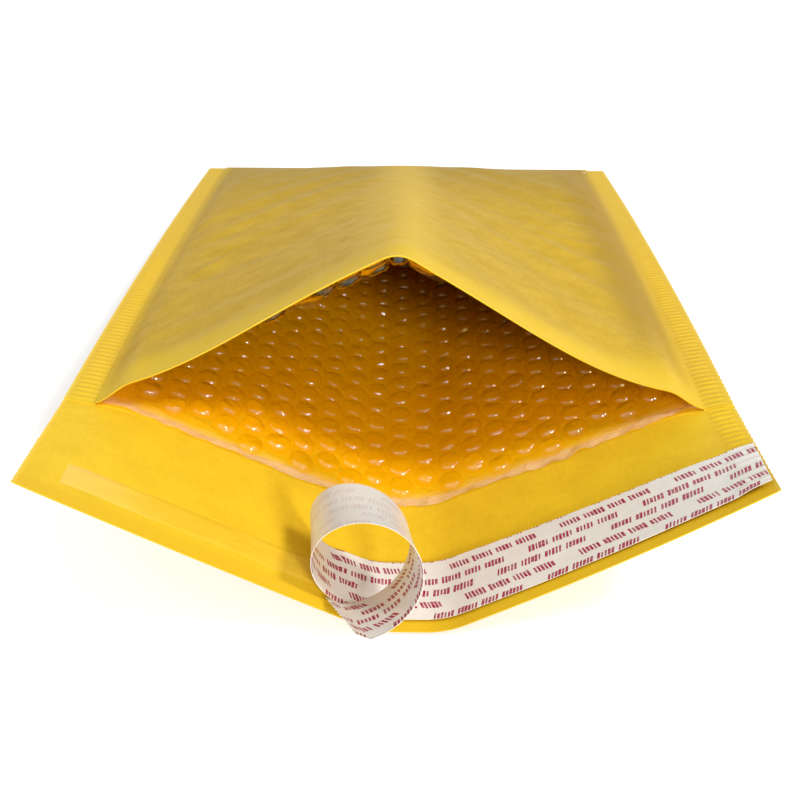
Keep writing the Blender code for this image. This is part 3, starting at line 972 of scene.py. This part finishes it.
@dataclass(frozen=True)
class Crease:
    """Soft crease in the upper panel, given by places along it from the keel line outwards."""

    side: Side
    path: tuple[tuple[float, float], ...]
    height: float
    width: float
    wander: float = 0.35
    hollow: float = 0.75

    def relief(self, u: Grid, v: Grid) -> Grid:
        """Return the crease's height.

        Args:
            u: Distance across.
            v: Distance along.

        Returns:
            Height of its ridge, with a shallow hollow before it.
        """
        across, along = np.array(self.path).T
        reach = self.side.value * u
        slope = (along[-1] - along[0]) / (across[-1] - across[0])
        offset = (v - np.interp(reach, across, along)) / math.hypot(1.0, slope) / self.width
        offset = offset + self.wander * Ripples(0.03, 17).at(u, v)
        fade = smooth_step(across[0] - 0.012, across[0] + 0.020, reach)
        fade = fade * smooth_step(across[-1] + 0.006, across[-1] - 0.020, reach)
        dip = self.hollow * np.exp(-(((offset + 1.9) / 1.5) ** 2))
        return self.height * fade * (np.exp(-(offset**2)) - dip)


CREASES = (
    Crease(Side.LEFT, ((0.040, 0.038), (0.075, 0.086), (0.107, 0.123)), 0.00065, 0.0036),
    Crease(Side.LEFT, ((0.012, 0.158), (0.052, 0.178), (0.072, 0.187), (0.096, 0.215)), 0.00080, 0.0040),
    Crease(Side.LEFT, ((0.029, 0.215), (0.067, 0.220), (0.099, 0.233)), 0.00050, 0.0050),
    Crease(Side.LEFT, ((0.006, 0.070), (0.040, 0.098), (0.080, 0.140), (0.104, 0.170)), 0.00055, 0.0046),
    Crease(Side.LEFT, ((0.020, 0.112), (0.060, 0.146), (0.085, 0.168)), 0.00050, 0.0030),
    Crease(Side.RIGHT, ((0.012, 0.064), (0.056, 0.110), (0.101, 0.145)), 0.00070, 0.0038),
    Crease(Side.RIGHT, ((0.017, 0.108), (0.062, 0.170), (0.103, 0.201)), 0.00075, 0.0042),
    Crease(Side.RIGHT, ((0.034, 0.185), (0.095, 0.229)), 0.00050, 0.0048),
    Crease(Side.RIGHT, ((0.045, 0.060), (0.075, 0.090), (0.104, 0.112)), 0.00060, 0.0032),
    Crease(Side.RIGHT, ((0.050, 0.140), (0.080, 0.160), (0.105, 0.172)), 0.00055, 0.0030),
)


@dataclass
class KraftEnvelope:
    """One folded kraft sheet: the upper panel, the lower panel with its flap, and the crimped seams."""

    form: MailerForm
    crimp_pitch: float = 0.0032
    crimp_height: float = 0.0006
    crimp_inner: float = 0.0008
    crimp_outer: float = 0.0020
    crimp_power: float = 0.8
    crimp_at_fold: float = 0.25
    crimp_uneven: float = 0.15
    crimp_show_below: float = 0.35
    saw_depth: float = 0.0004
    rough_depth: float = 0.00005
    torn_depth: float = 0.00010
    liner_reach: float = 0.0294
    row_step: float = 0.0008
    column_step: float = 0.0016
    belly_step: float = 0.007
    inner_step: float = 0.006
    band_columns: int = 8
    swell: float = 0.0012
    swell_level: float = 0.85
    swell_broad: float = 0.15
    swell_dimple: float = 0.06
    swell_groove: float = 0.7
    groove_inset: float = 0.0120
    groove_width: float = 0.0042
    swell_at_mouth: float = 0.12
    deepest_dip: float = 0.0002

    def crimp(self, side: Side, u: Grid, v: Grid) -> Grid:
        """Return the height of a seam's crimped ridges.

        Args:
            side: The seam's side.
            u: Distance across.
            v: Distance along.

        Returns:
            Height above the plain band, zero outside the crimp.
        """
        form = self.form
        inner = form.pocket_half + form.seam_wall + self.crimp_inner
        outer = form.half - self.crimp_outer
        across = smooth_step(inner - 0.0004, inner + 0.0012, np.abs(u))
        across = across * smooth_step(outer + 0.0004, outer - 0.0010, np.abs(u))
        last = form.flap_end - self.liner_reach + 0.004
        if side is Side.LEFT:
            last = form.body_length - 0.001
        near = smooth_step(last + 0.002, last - 0.002, v)
        strength = self.crimp_at_fold + (1 - self.crimp_at_fold) * smooth_step(0.10, 0.20, v)
        wave = 0.5 - 0.5 * np.cos(math.tau * v / self.crimp_pitch)
        uneven = 1 - self.crimp_uneven + self.crimp_uneven * Ripples(0.011, 5 + side.value).at(u, v)
        fold = smooth_step(0.0, 0.006, v)
        return self.crimp_height * wave**self.crimp_power * across * near * strength * uneven * fold

    def crimps(self, u: Grid, v: Grid) -> Grid:
        """Return the height of both seams' ridges."""
        return np.where(u < 0, self.crimp(Side.LEFT, u, v), self.crimp(Side.RIGHT, u, v))

    def edge(self, side: Side, v: Grid) -> Grid:
        """Return how far the sheet's cut edge is from the keel line.

        Args:
            side: The edge's side.
            v: Distance along.

        Returns:
            One distance for each point along the edge.
        """
        end = self.form.flap_end
        rough = self.rough_depth * Ripples(0.006, 21 + side.value).at(0.0, v)
        if side is Side.RIGHT:
            saw = np.abs(np.mod(v / self.crimp_pitch, 1.0) - 0.5) * 2.0
            cut = smooth_step(0.09, 0.16, v) * smooth_step(end - 0.002, end - 0.010, v)
            return self.form.half - self.saw_depth * saw * cut + rough
        torn = self.torn_depth * smooth_step(0.305, 0.315, v) * Ripples(0.0028, 31).at(0.0, v)
        return self.form.half + rough + torn

    def columns(self, step: float) -> Grid:
        """Lay out a grid's columns across the pocket.

        Args:
            step: The widest step.

        Returns:
            Distances across, closer at the pocket's sides and near the keel.
        """
        form = self.form
        shares = np.array([0.0, 0.025, 0.06, 0.11, 0.17, 0.24, 0.32, 0.41, 0.51, 0.62, 0.74, 0.87])
        shoulder = form.pocket_half - form.padding_side * shares
        middle = even(form.pocket_half - form.padding_side, 0.006, step)[:-1]
        half = np.concatenate([shoulder, middle, even(0.006, 0.0, step / 2)])
        return np.concatenate([-half, half[:-1][::-1]])

    def panel_rows(self) -> Grid:
        """Return distances along a panel, closer at the far fold."""
        return np.concatenate([[0.0, 0.0006], even(0.0016, self.form.body_length, self.row_step)])

    def full_width(self, pocket: Grid, rows: Grid) -> tuple[Grid, Grid]:
        """Return the flat coordinates of a grid that runs from one cut edge to the other.

        Args:
            pocket: Distances across the pocket.
            rows: Distances along.

        Returns:
            The coordinates u and v, one row of the grid for each distance along.
        """
        wall = self.form.pocket_half + self.form.seam_wall
        share = np.linspace(1.0, 0.0, self.band_columns)[None, :]
        left, right = (
            side.value * (wall + share * (self.edge(side, rows)[:, None] - wall)) for side in Side
        )
        middle = np.broadcast_to(pocket, (len(rows), len(pocket)))
        u = np.concatenate([left, middle, right[:, ::-1]], axis=1)
        return u, np.broadcast_to(rows[:, None], u.shape)

    def swelling(self, u: Grid, v: Grid) -> Grid:
        """Find how far the upper panel swells beyond its plain shape.

        Args:
            u: Distance across.
            v: Distance along.

        Returns:
            One distance for each point, hardly ever inwards.
        """
        form = self.form
        reach = np.abs(u)
        inside = smooth_step(form.pocket_half, form.pocket_half - 0.012, reach) * smooth_step(0.0, 0.045, v)
        mouth = smooth_step(form.body_length, form.body_length - 0.016, v)
        ridge_waves = Ripples(0.055, 11, turn=math.pi / 2, fan=0.3)
        broad = self.swell_broad * ridge_waves.at(0.4 * u, form.at_ridge(u, v))
        dimple = self.swell_dimple * Ripples(0.014, 13).at(u, v)
        beside = (reach - form.pocket_half + self.groove_inset) / self.groove_width
        groove = np.exp(-(beside**2)) * smooth_step(0.29, 0.20, v)
        creases = sum(crease.relief(u, v) for crease in CREASES)
        level = self.swell * (self.swell_level + broad + dimple - self.swell_groove * groove) + creases
        shown = self.swell_at_mouth + (1 - self.swell_at_mouth) * mouth
        return inside * np.maximum(level, -self.deepest_dip) * shown

    def roof(self, u: Grid, v: Grid) -> Grid:
        """Find points of the upper panel's outer face, its seam bands among them.

        Args:
            u: Distance across.
            v: Distance along.

        Returns:
            Points with x, y and z on the last axis.
        """
        form = self.form
        band = form.place(Panel.LOWER, u, v, form.kraft + self.crimps(u, v))
        body = form.place(Panel.UPPER, u, v, -form.kraft - self.swelling(u, v))
        return np.where((np.abs(u) > form.pocket_half)[..., None], band, body)

    def belly(self, u: Grid, v: Grid) -> Grid:
        """Return points of the lower panel's outer face."""
        level = -self.form.kraft + self.crimp_show_below * self.crimps(u, v)
        return self.form.place(Panel.LOWER, u, v, level)

    def deck(self, u: Grid, v: Grid) -> Grid:
        """Return points of the flap's upper face."""
        level = np.where(u > 0, self.crimp(Side.RIGHT, u, v), 0.0)
        return self.form.place(Panel.LOWER, u, v, level)

    def on_lower(self, draft: Draft, u: Grid, v: Grid) -> Grid:
        """Add points on the lower panel's inner face, and return their indices."""
        return draft.add(self.form.place(Panel.LOWER, u, v, 0.0), u, v)

    def make_upper(self, finish: KraftFinish, inside: KraftFinish) -> bpy.types.Object:
        """Make the upper panel with its rim at the mouth.

        Args:
            finish: Its paper, painted darker as shade.
            inside: The paper inside the pocket, painted lighter and redder as light coming through the
                paper.

        Returns:
            The piece.
        """
        form, draft, band = self.form, Draft(), self.band_columns
        pocket = self.columns(self.column_step)
        u, v = self.full_width(pocket, self.panel_rows())
        points = self.roof(u, v)
        points[0] += (0.0, form.kraft, -0.4 * form.kraft)
        top = draft.sheet(points, u, v, Face.UP)
        deep = even(0.004, form.body_length - 0.012, self.inner_step)
        near = even(form.body_length - 0.009, form.body_length, self.inner_step / 2)
        grid_u, grid_v = np.meshgrid(pocket, np.concatenate([[0.0004], deep, near]))
        inner_points = form.place(Panel.UPPER, grid_u, grid_v, 0.0)
        inner = draft.sheet(inner_points, grid_u, grid_v, Panel.UPPER.inner_face, 1)
        draft.join(top[-1, band:-band], inner[-1], Face.UP)
        hinge = self.on_lower(draft, u[-1], v[-1])
        draft.join(top[-1, : band + 1], hinge[: band + 1], Face.UP)
        draft.join(top[-1, -band - 1 :], hinge[-band - 1 :], Face.UP)
        for column in (0, -1):
            wall = self.on_lower(draft, u[:, column], v[:, column])
            draft.join(top[:, column], wall, Face.UP)
        return draft.build("envelope_upper_panel", [finish.build(form), inside.build(form)])

    def make_lower(self, finish: KraftFinish, inside: KraftFinish) -> bpy.types.Object:
        """Make the lower panel with its flap.

        Args:
            finish: Its paper.
            inside: The paper inside the pocket, painted lighter and redder as light coming through the
                paper.

        Returns:
            The piece.
        """
        form, draft, band = self.form, Draft(), self.band_columns
        pocket = self.columns(self.column_step)
        u, v = self.full_width(pocket, even(form.body_length, form.flap_end, self.row_step))
        top = draft.sheet(self.deck(u, v), u, v, Face.UP)
        under = draft.sheet(self.belly(u, v), u, v, Face.DOWN)
        draft.join(top[-1], under[-1], Face.UP)
        for column in (0, -1):
            draft.join(top[:, column], under[:, column], Face.UP)
        grid_u, grid_v = np.meshgrid(pocket, even(0.0004, form.body_length - 0.004, self.inner_step))
        floor = self.on_lower(draft, grid_u, grid_v)
        draft.quads(np.concatenate([floor, top[:1, band:-band]]), Panel.LOWER.inner_face, 1)
        u, v = self.full_width(self.columns(self.belly_step), self.panel_rows())
        points = self.belly(u, v)
        points[0] += (0.0, form.kraft, 0.4 * form.kraft)
        belly = draft.sheet(points, u, v, Face.DOWN)
        for column in (0, -1):
            wall = self.on_lower(draft, u[:, column], v[:, column])
            draft.join(wall, belly[:, column], Face.UP)
        return draft.build("envelope_lower_panel", [finish.build(form), inside.build(form)])


@dataclass
class BubbleLining:
    """Bubble film folded at the far end, one layer on each panel."""

    form: MailerForm
    setback: float = 0.0012
    upper_setback: float = 0.012
    side_gap: float = 0.0005
    lip: float = 0.0045
    pitch: float = 0.011
    diameter: float = 0.0098
    height: float = 0.0036
    least_height: float = 0.0005
    smallest: float = 0.94
    lowest: float = 0.72
    lean: float = 0.16
    dent: float = 0.00028
    front_margin: float = 0.0095
    side_margin: float = 0.0065
    far_margin: float = 0.008
    wave: float = 0.0009
    fine_wave: float = 0.000405
    crumple: float = 0.0004
    tuft: float = 0.0009
    sag: float = 0.0019
    across_step: float = 0.0015
    deep_step: float = 0.02
    front_step: float = 0.0043
    border_rows: int = 5

    def front(self, panel: Panel, u: Grid) -> Grid:
        """Return how far from the far fold a layer's front edge is.

        Args:
            panel: The panel that the layer lies on.
            u: Distance across.

        Returns:
            One distance for each place across.
        """
        half = self.form.pocket_half
        base = self.form.body_length - self.setback
        if panel is Panel.UPPER:
            peak = smooth_step(-0.062, -0.046, u) * smooth_step(0.024, 0.014, u)
            return base - self.upper_setback * (1 - peak) + 0.0002 * Ripples(0.02, 41).at(u)
        lip = self.lip * (1 - (u / half) ** 2)
        uneven = self.wave * Ripples(0.024, 42).at(u) + self.fine_wave * Ripples(0.008, 43).at(u)
        return base + lip + uneven * smooth_step(half, half - 0.02, np.abs(u))

    def lift(self, panel: Panel, u: Grid, v: Grid) -> Grid:
        """Return how far the film stands off its panel between its bubbles.

        Args:
            panel: The panel that the layer lies on.
            u: Distance across.
            v: Distance along.

        Returns:
            One height for each point.
        """
        base = self.form.clearance + self.form.film
        uneven = Ripples(0.009, 51 + panel.value).at(u, v)
        crumple = np.clip(0.6 + 0.8 * uneven, 0.0, 2.0) * self.crumple
        front = self.front(panel, u)
        edge = smooth_step(front - 0.007, front, v)
        if panel is Panel.LOWER:
            tufts = Ripples(0.012, 61 + panel.value).at(u, v)
            return base + crumple + np.clip(tufts, 0.0, 2.0) * self.tuft * edge
        left = smooth_step(-0.058, -0.030, u) * smooth_step(-0.003, -0.007, u)
        right = smooth_step(0.002, 0.006, u) * smooth_step(0.020, 0.010, u)
        hanging = left * (1.0 + 0.7 * Ripples(0.011, 71).at(u)) + 0.9 * right
        hanging = hanging * smooth_step(0.035, 0.0, self.form.body_length - v)
        return base + crumple * (1 - edge) + self.sag * np.clip(hanging, 0.0, 2.0)

    def centres(self, panel: Panel) -> Grid:
        """Find the bubbles' centres, in columns along the mailer that are staggered by half a pitch.

        Args:
            panel: The panel that the layer lies on.

        Returns:
            Flat coordinates, one row for each bubble.
        """
        form = self.form
        front = form.body_length + (self.lip if panel is Panel.LOWER else -self.setback)
        margin = (0.68 if panel is Panel.LOWER else 1.0) * self.front_margin
        column_pitch = self.pitch * math.sqrt(3) / 2
        reach = int((form.pocket_half - self.side_margin) / column_pitch)
        places = []
        for column in range(-reach, reach + 1):
            for row in range(int(front / self.pitch)):
                u = column * column_pitch
                v = front - self.front_margin - (row + 0.5 * (column % 2)) * self.pitch
                if self.far_margin < v < float(self.front(panel, np.array(u))) - margin:
                    places.append((u, v))
        return np.array(places)

    def bubbles(self, draft: Draft, panel: Panel) -> None:
        """Add the domes of one layer, finer near the mouth.

        Args:
            draft: The piece being made.
            panel: The panel that the layer lies on.
        """
        form = self.form
        chance = np.random.default_rng(81 + panel.value)
        near_rings = np.array([1.0, 0.985, 0.95, 0.88, 0.74, 0.52, 0.28, 0.04])
        near_rise = np.array([0.0, 0.30, 0.58, 0.78, 0.91, 0.97, 0.99, 1.0])
        near_zone = 0.13 if panel is Panel.LOWER else 0.030
        dents = Ripples(0.0045, 90 + panel.value, waves=8)
        for centre_u, centre_v in self.centres(panel):
            radius = self.diameter / 2 * chance.uniform(self.smallest, 1.0)
            here_u, here_v = np.array(centre_u), np.array(centre_v)
            room = float(np.linalg.norm(form.upper(here_u, here_v) - form.lower(here_u, here_v)))
            height = min(self.height * chance.uniform(self.lowest, 1.0), 0.46 * room - 0.0006)
            if height < self.least_height:
                continue
            tilt = chance.uniform(-self.lean, self.lean, 2)
            near = self.front(panel, here_u) - centre_v < near_zone
            rings, rise = near_rings, near_rise
            if not near:
                rings, rise = near_rings[[0, 2, 4, 7]], near_rise[[0, 2, 4, 7]]
            turn = np.linspace(0.0, math.tau, (22 if near else 10) + 1)
            grid_turn, grid_ring = np.meshgrid(turn, rings)
            grid_rise = np.broadcast_to(rise[:, None], grid_turn.shape)
            u = centre_u + radius * grid_ring * np.cos(grid_turn)
            v = centre_v + radius * grid_ring * np.sin(grid_turn)
            lean = 1 + tilt[0] * grid_ring * np.cos(grid_turn) + tilt[1] * grid_ring * np.sin(grid_turn)
            foot = self.lift(panel, here_u, here_v) + np.where(grid_rise > 0, 0.0, -0.0001)
            level = foot + height * grid_rise * lean + self.dent * dents.at(u, v) * grid_rise
            draft.sheet(form.place(panel, u, v, level), u, v, panel.inner_face)

    def make_layer(
        self, panel: Panel, name: str, film: bpy.types.Material, border: bpy.types.Material
    ) -> bpy.types.Object:
        """Make the film and bubbles on one panel.

        Args:
            panel: The panel.
            name: Name of the piece.
            film: Its material.
            border: Material of its front border.

        Returns:
            The piece.
        """
        form, draft = self.form, Draft()
        half = form.pocket_half - self.side_gap
        step = self.across_step
        across = np.concatenate([-even(half, 0.0, step), even(0.0, half, step)[1:]])
        fine = 0.10 if panel is Panel.LOWER else 0.045
        deep = even(0.0, (form.body_length - fine) / form.body_length, self.deep_step)
        share = np.concatenate([deep[:-1], even(deep[-1], 1.0, self.front_step)])
        start = form.clearance + form.film
        v = start + share[:, None] * (self.front(panel, across)[None, :] - start)
        u = np.broadcast_to(across, v.shape)
        rows = draft.add(form.place(panel, u, v, self.lift(panel, u, v)), u, v)
        draft.quads(rows[: -self.border_rows], panel.inner_face)
        draft.quads(rows[-self.border_rows - 1 :], panel.inner_face, 1)
        self.bubbles(draft, panel)
        return draft.build(name, [film, border])


@dataclass
class AdhesiveStrip:
    """Band of adhesive across the flap, which the release liner still covers on the right."""

    form: MailerForm
    width: float = 0.0115
    rise: float = 0.00016
    rise_at_edge: float = 0.25
    edge_width: float = 0.0011
    sway: float = 0.0002
    inset: float = 0.0095
    end_margin: float = 0.011

    def make(self, finish: AdhesiveFinish) -> bpy.types.Object:
        """Make the band.

        Args:
            finish: Its material.

        Returns:
            The piece.
        """
        form, draft = self.form, Draft()
        end = form.half - self.end_margin
        front = form.flap_end - self.inset
        rear = front - self.width
        u, v = np.meshgrid(even(-end, end, 0.0016), even(rear, front, 0.0012))
        sway = self.sway * Ripples(0.02, 101).at(u)
        inner = np.minimum(np.minimum(v - rear, front - v), end - np.abs(u))
        full = smooth_step(0.0, self.edge_width, inner)
        level = self.rise * (self.rise_at_edge + (1 - self.rise_at_edge) * full)
        draft.sheet(form.place(Panel.LOWER, u, v + sway, level), u, v, Face.UP)
        return draft.build("flap_adhesive", [finish.build()])


@dataclass
class ReleaseLiner:
    """Release liner: still stuck on the right half, peeled and curled over the keel."""

    form: MailerForm
    width: float = 0.0254
    thickness: float = 0.0002
    inset: float = 0.0040
    end_margin: float = 0.001
    adhesive: float = 0.0002
    curl_start: float = -0.0213
    radius_first: float = 0.0185
    radius_last: float = 0.0119
    turn: float = math.tau
    drift: float = 0.0245
    lean: float = 0.475
    lean_power: float = 0.78
    twist: float = 0.16
    tail: float = 0.004
    steps: int = 120
    tooth: float = 0.0021
    tooth_depth: float = 0.0011
    crimp_pitch: float = 0.0032
    crimp_height: float = 0.00045
    end_lift: float = 0.00035
    wave: float = 0.00012

    @property
    def low(self) -> float:
        """Height of the liner's under face above the flap."""
        return 2 * self.form.clearance + self.adhesive

    @property
    def middle(self) -> float:
        """Distance of the liner's middle line from the far fold."""
        return self.form.flap_end - self.inset - self.width / 2

    def lying(self, share: Grid) -> tuple[Grid, Grid, Grid]:
        """Return the under face, the upper face and the distance along of the part that is stuck down.

        Args:
            share: Places across the ribbon, from -1 at its rear edge to 1 at its front edge.

        Returns:
            Two grids of points, one row for each place along, and those places' distances.
        """
        form = self.form
        places = even(form.half - self.end_margin, self.curl_start, 0.0016)
        u, v = np.meshgrid(places, self.middle + share * self.width / 2, indexing="ij")
        end = smooth_step(form.half - 0.014, form.half - 0.006, u)
        ridge = self.crimp_height * end * (0.5 - 0.5 * np.cos(math.tau * v / self.crimp_pitch))
        waves = self.wave * np.clip(1 + Ripples(0.03, 111).at(u, v), 0, 2)
        lift = self.end_lift * end + waves + ridge
        under = form.place(Panel.LOWER, u, v, self.low + lift)
        over = form.place(Panel.LOWER, u, v, self.low + self.thickness + lift)
        return under, over, places[0] - places

    def curl_axes(self) -> tuple[Grid, Grid, Grid, Grid]:
        """Find where the curl starts and its own directions.

        Returns:
            The first point of its middle line, and the directions to the left, to the front and up.
        """
        form, here, middle = self.form, np.array(self.curl_start), np.array(self.middle)
        origin = form.place(Panel.LOWER, here, middle, np.array(self.low))
        left = form.lower(here - form.step, middle) - form.lower(here, middle)
        front = form.lower(here, np.array(self.middle + form.step)) - form.lower(here, middle)
        left, front = left / np.linalg.norm(left), front / np.linalg.norm(front)
        up = np.cross(left, front)
        return origin, left, front, up / np.linalg.norm(up)

    def curled(self, share: Grid) -> tuple[Grid, Grid, Grid]:
        """Return the same for the curl, which rolls up on the left and ends in front of itself.

        Args:
            share: Places across the ribbon, from -1 at its rear edge to 1 at its front edge.

        Returns:
            Two grids of points, one row for each place along, and those places' distances.
        """
        place, left, front, up = self.curl_axes()
        step_turn = self.turn / self.steps
        slant = 2 * self.drift / (self.turn * (self.radius_first + self.radius_last))
        gone, under, over, gone_list = 0.0, [], [], []
        for step in range(self.steps + 1):
            if step < self.steps:
                part = (step + 0.5) / self.steps
                turn = (step + 1) * step_turn
                radius = self.radius_first + (self.radius_last - self.radius_first) * part
                chord = left * math.cos(part * self.turn) + up * math.sin(part * self.turn)
                move, length = chord * (radius * step_turn), radius * step_turn
                move = move + front * (2 * self.drift * part / self.steps)
            else:
                turn, length = self.turn, self.tail
                move = along * length
            place, gone = place + move, gone + length
            along = left * math.cos(turn) + up * math.sin(turn)
            outward = left * math.sin(turn) - up * math.cos(turn)
            done = turn / self.turn
            tilt = np.array([self.twist * done, 0.0, self.lean * done**self.lean_power])
            edge = front - along * slant + tilt
            edge *= self.width / 2 / np.linalg.norm(edge)
            line = place + share[:, None] * edge
            under.append(line)
            over.append(line - outward * self.thickness)
            gone_list.append(gone)
        teeth = np.abs(np.mod((share + 1) * self.width / 2 / self.tooth, 1.0) - 0.5) * 2.0
        for rows in (under, over):
            rows.append(rows[-1] + along * (self.tooth_depth * teeth)[:, None])
        gone_list.append(gone + self.tooth_depth)
        return np.array(under), np.array(over), np.array(gone_list)

    def make(self, printed: LinerFinish, back: LinerFinish) -> bpy.types.Object:
        """Make the liner.

        Args:
            printed: Material of the face that looks up where the liner lies.
            back: Material of its other face.

        Returns:
            The piece.
        """
        draft = Draft()
        teeth = int(round(self.width / self.tooth * 2)) * 2
        share = np.linspace(-1.0, 1.0, teeth + 1)
        flat_under, flat_over, flat_gone = self.lying(share)
        curl_under, curl_over, curl_gone = self.curled(share)
        gone = np.concatenate([flat_gone, flat_gone[-1] + curl_gone])
        u, v = np.meshgrid(gone, share * self.width / 2, indexing="ij")
        under = draft.sheet(np.concatenate([flat_under, curl_under]), u, v, Face.UP, 1)
        over = draft.sheet(np.concatenate([flat_over, curl_over]), u, v, Face.DOWN, 0)
        for side in (0, -1):
            draft.join(under[:, side], over[:, side], Face.UP, 1)
        for end in (0, -1):
            draft.join(under[end], over[end], Face.UP, 1)
        return draft.build("release_liner_ribbon", [printed.build(), back.build()])


@dataclass(frozen=True)
class Lamp:
    """Round soft lamp that hangs in one direction from the mailer."""

    name: str
    direction: Place
    size: float
    watts: float
    distance: float = 1.5

    def hang(self, aim: Place) -> None:
        """Hang the lamp.

        Args:
            aim: The place it points at.
        """
        away = Vector(self.direction).normalized()
        light = bpy.data.lights.new(self.name, "AREA")
        light.shape = "DISK"
        light.size = self.size
        light.energy = self.watts
        lamp = bpy.data.objects.new(self.name, light)
        lamp.location = Vector(aim) + away * self.distance
        lamp.rotation_euler = away.to_track_quat("Z", "Y").to_euler()
        link(lamp)


@dataclass
class Studio:
    """Pale floor, soft light and the camera: a main lamp to the right, one low in front and one left."""

    floor_size: float = 6.0
    floor_height: float = -0.0002
    floor_tone: float = 0.78
    floor_glow: float = 0.42
    lamps: tuple[Lamp, ...] = (
        Lamp("key_lamp", (0.75, -0.29, 1.0), 0.26, 10.3),
        Lamp("front_lamp", (0.42, -1.0, 0.46), 0.30, 13.8),
        Lamp("side_lamp", (-1.0, -0.5, 0.9), 1.3, 4.0),
    )
    aim: Place = (0.0, 0.08, 0.03)
    fill: float = 0.56
    camera_place: Place = (0.0042608, -0.2728063, 0.2314602)
    pitch: float = 0.611564
    yaw: float = -0.0133235
    roll: float = 0.0021148
    focal_pixels: float = 984.273
    picture: float = 800.0
    sensor: float = 36.0
    nearest: float = 0.01

    def floor(self) -> bpy.types.Object:
        """Make the floor, which shows nearly white and keeps the shadows.

        Returns:
            The floor.
        """
        draft = Draft()
        half = self.floor_size / 2
        line = np.linspace(-half, half, 9)
        x, y = np.meshgrid(line, line[::-1])
        draft.sheet(np.stack([x, y, np.full_like(x, self.floor_height)], axis=-1), x, y, Face.UP)
        material, graph, shader = new_material("pale_floor")
        graph.put(
            shader,
            base_color=(self.floor_tone,) * 3,
            roughness=0.9,
            specular_ior_level=0.0,
            emission_color=(1.0, 1.0, 1.0),
            emission_strength=graph.math(
                "MULTIPLY", graph.rays("Camera", "Glossy", "Transmission"), self.floor_glow
            ),
        )
        return draft.build("studio_floor", [material])

    def world(self) -> None:
        """Light the scene evenly, with a white background."""
        world = bpy.data.worlds.new("soft_room")
        bpy.context.scene.world = world
        world.use_nodes = True
        graph = Graph(world.node_tree)
        seen = graph.rays("Camera", "Glossy", "Transmission")
        strength = graph.ramp(seen, 0.0, 1.0, self.fill, 1.0)
        graph.put(world.node_tree.nodes["Background"], color=(1.0, 1.0, 1.0), strength=strength)

    def light(self) -> None:
        """Hang the lamps."""
        for lamp in self.lamps:
            lamp.hang(self.aim)

    def camera(self) -> None:
        """Put the camera where the photograph was taken from."""
        level = Vector((math.sin(self.yaw), math.cos(self.yaw), 0.0)) * math.cos(self.pitch)
        ahead = level + Vector((0.0, 0.0, -math.sin(self.pitch)))
        right = Vector((math.cos(self.yaw), -math.sin(self.yaw), 0.0))
        side = right * math.cos(self.roll) + right.cross(ahead) * math.sin(self.roll)
        data = bpy.data.cameras.new("photo_camera")
        data.sensor_width = self.sensor
        data.lens = self.sensor * self.focal_pixels / self.picture
        data.clip_start = self.nearest
        eye = bpy.data.objects.new("photo_camera", data)
        turned = Matrix((side, side.cross(ahead), -ahead)).transposed().to_4x4()
        eye.matrix_world = Matrix.Translation(Vector(self.camera_place)) @ turned
        link(eye)
        bpy.context.scene.camera = eye


def settle(piece: bpy.types.Object, node: str) -> None:
    """Let a piece stand for a node of the frame: hang it on the root body and hide the node's part.

    Args:
        piece: The piece.
        node: The node it stands for.
    """
    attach(piece, "root")
    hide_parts(node)


def main() -> None:
    """Build the mailer, its studio and the camera."""
    logging.basicConfig(level=logging.INFO, format="%(message)s")
    form = MailerForm()
    studio = Studio()
    studio.camera()
    envelope = KraftEnvelope(form)
    # The panel's paper is painted darker than the flap's, as shade, with painted light along the mouth and a
    # painted highlight on the ridge.
    panel = KraftFinish(
        Area.PANEL,
        colour=(0.590, 0.368, 0.014),
        dark=(0.490, 0.300, 0.009),
        painted_front_shading=(0.70, 0.465, 0.022),
        far=(0.41, 0.255, 0.012),
    )
    # The flap's paper, with painted shade along its front edge.
    flap = KraftFinish(
        Area.FLAP,
        colour=(0.82, 0.535, 0.019),
        dark=(0.745, 0.475, 0.016),
        painted_front_shading=(0.74, 0.46, 0.015),
    )
    # The paper inside the pocket is painted lighter and redder, as light coming through the paper, with
    # painted light along the mouth and painted shade deep in the pocket.
    inside = KraftFinish(
        Area.INSIDE,
        colour=(0.96, 0.56, 0.012),
        dark=(0.93, 0.51, 0.010),
        painted_front_shading=(0.96, 0.62, 0.020),
        far=(0.98, 0.25, 0.005),
    )
    settle(envelope.make_upper(panel, inside), "kraft_envelope")
    settle(envelope.make_lower(flap, inside), "kraft_envelope")
    lining = BubbleLining(form)
    film, border = FilmFinish().build(), FilmBorderFinish(lining.lip).build(form)
    for side, name in ((Panel.LOWER, "bubble_film_lower"), (Panel.UPPER, "bubble_film_upper")):
        settle(lining.make_layer(side, name, film, border), "bubble_lining")
    settle(AdhesiveStrip(form).make(AdhesiveFinish()), "adhesive_strip")
    printed, back = LinerFinish("liner_printed", 1.0), LinerFinish("liner_back", 0.16, roughness=0.3)
    settle(ReleaseLiner(form).make(printed, back), "release_liner")
    studio.floor()
    studio.world()
    studio.light()
    bpy.context.scene.view_settings.view_transform = "Standard"


if __name__ == "__main__":
    main()
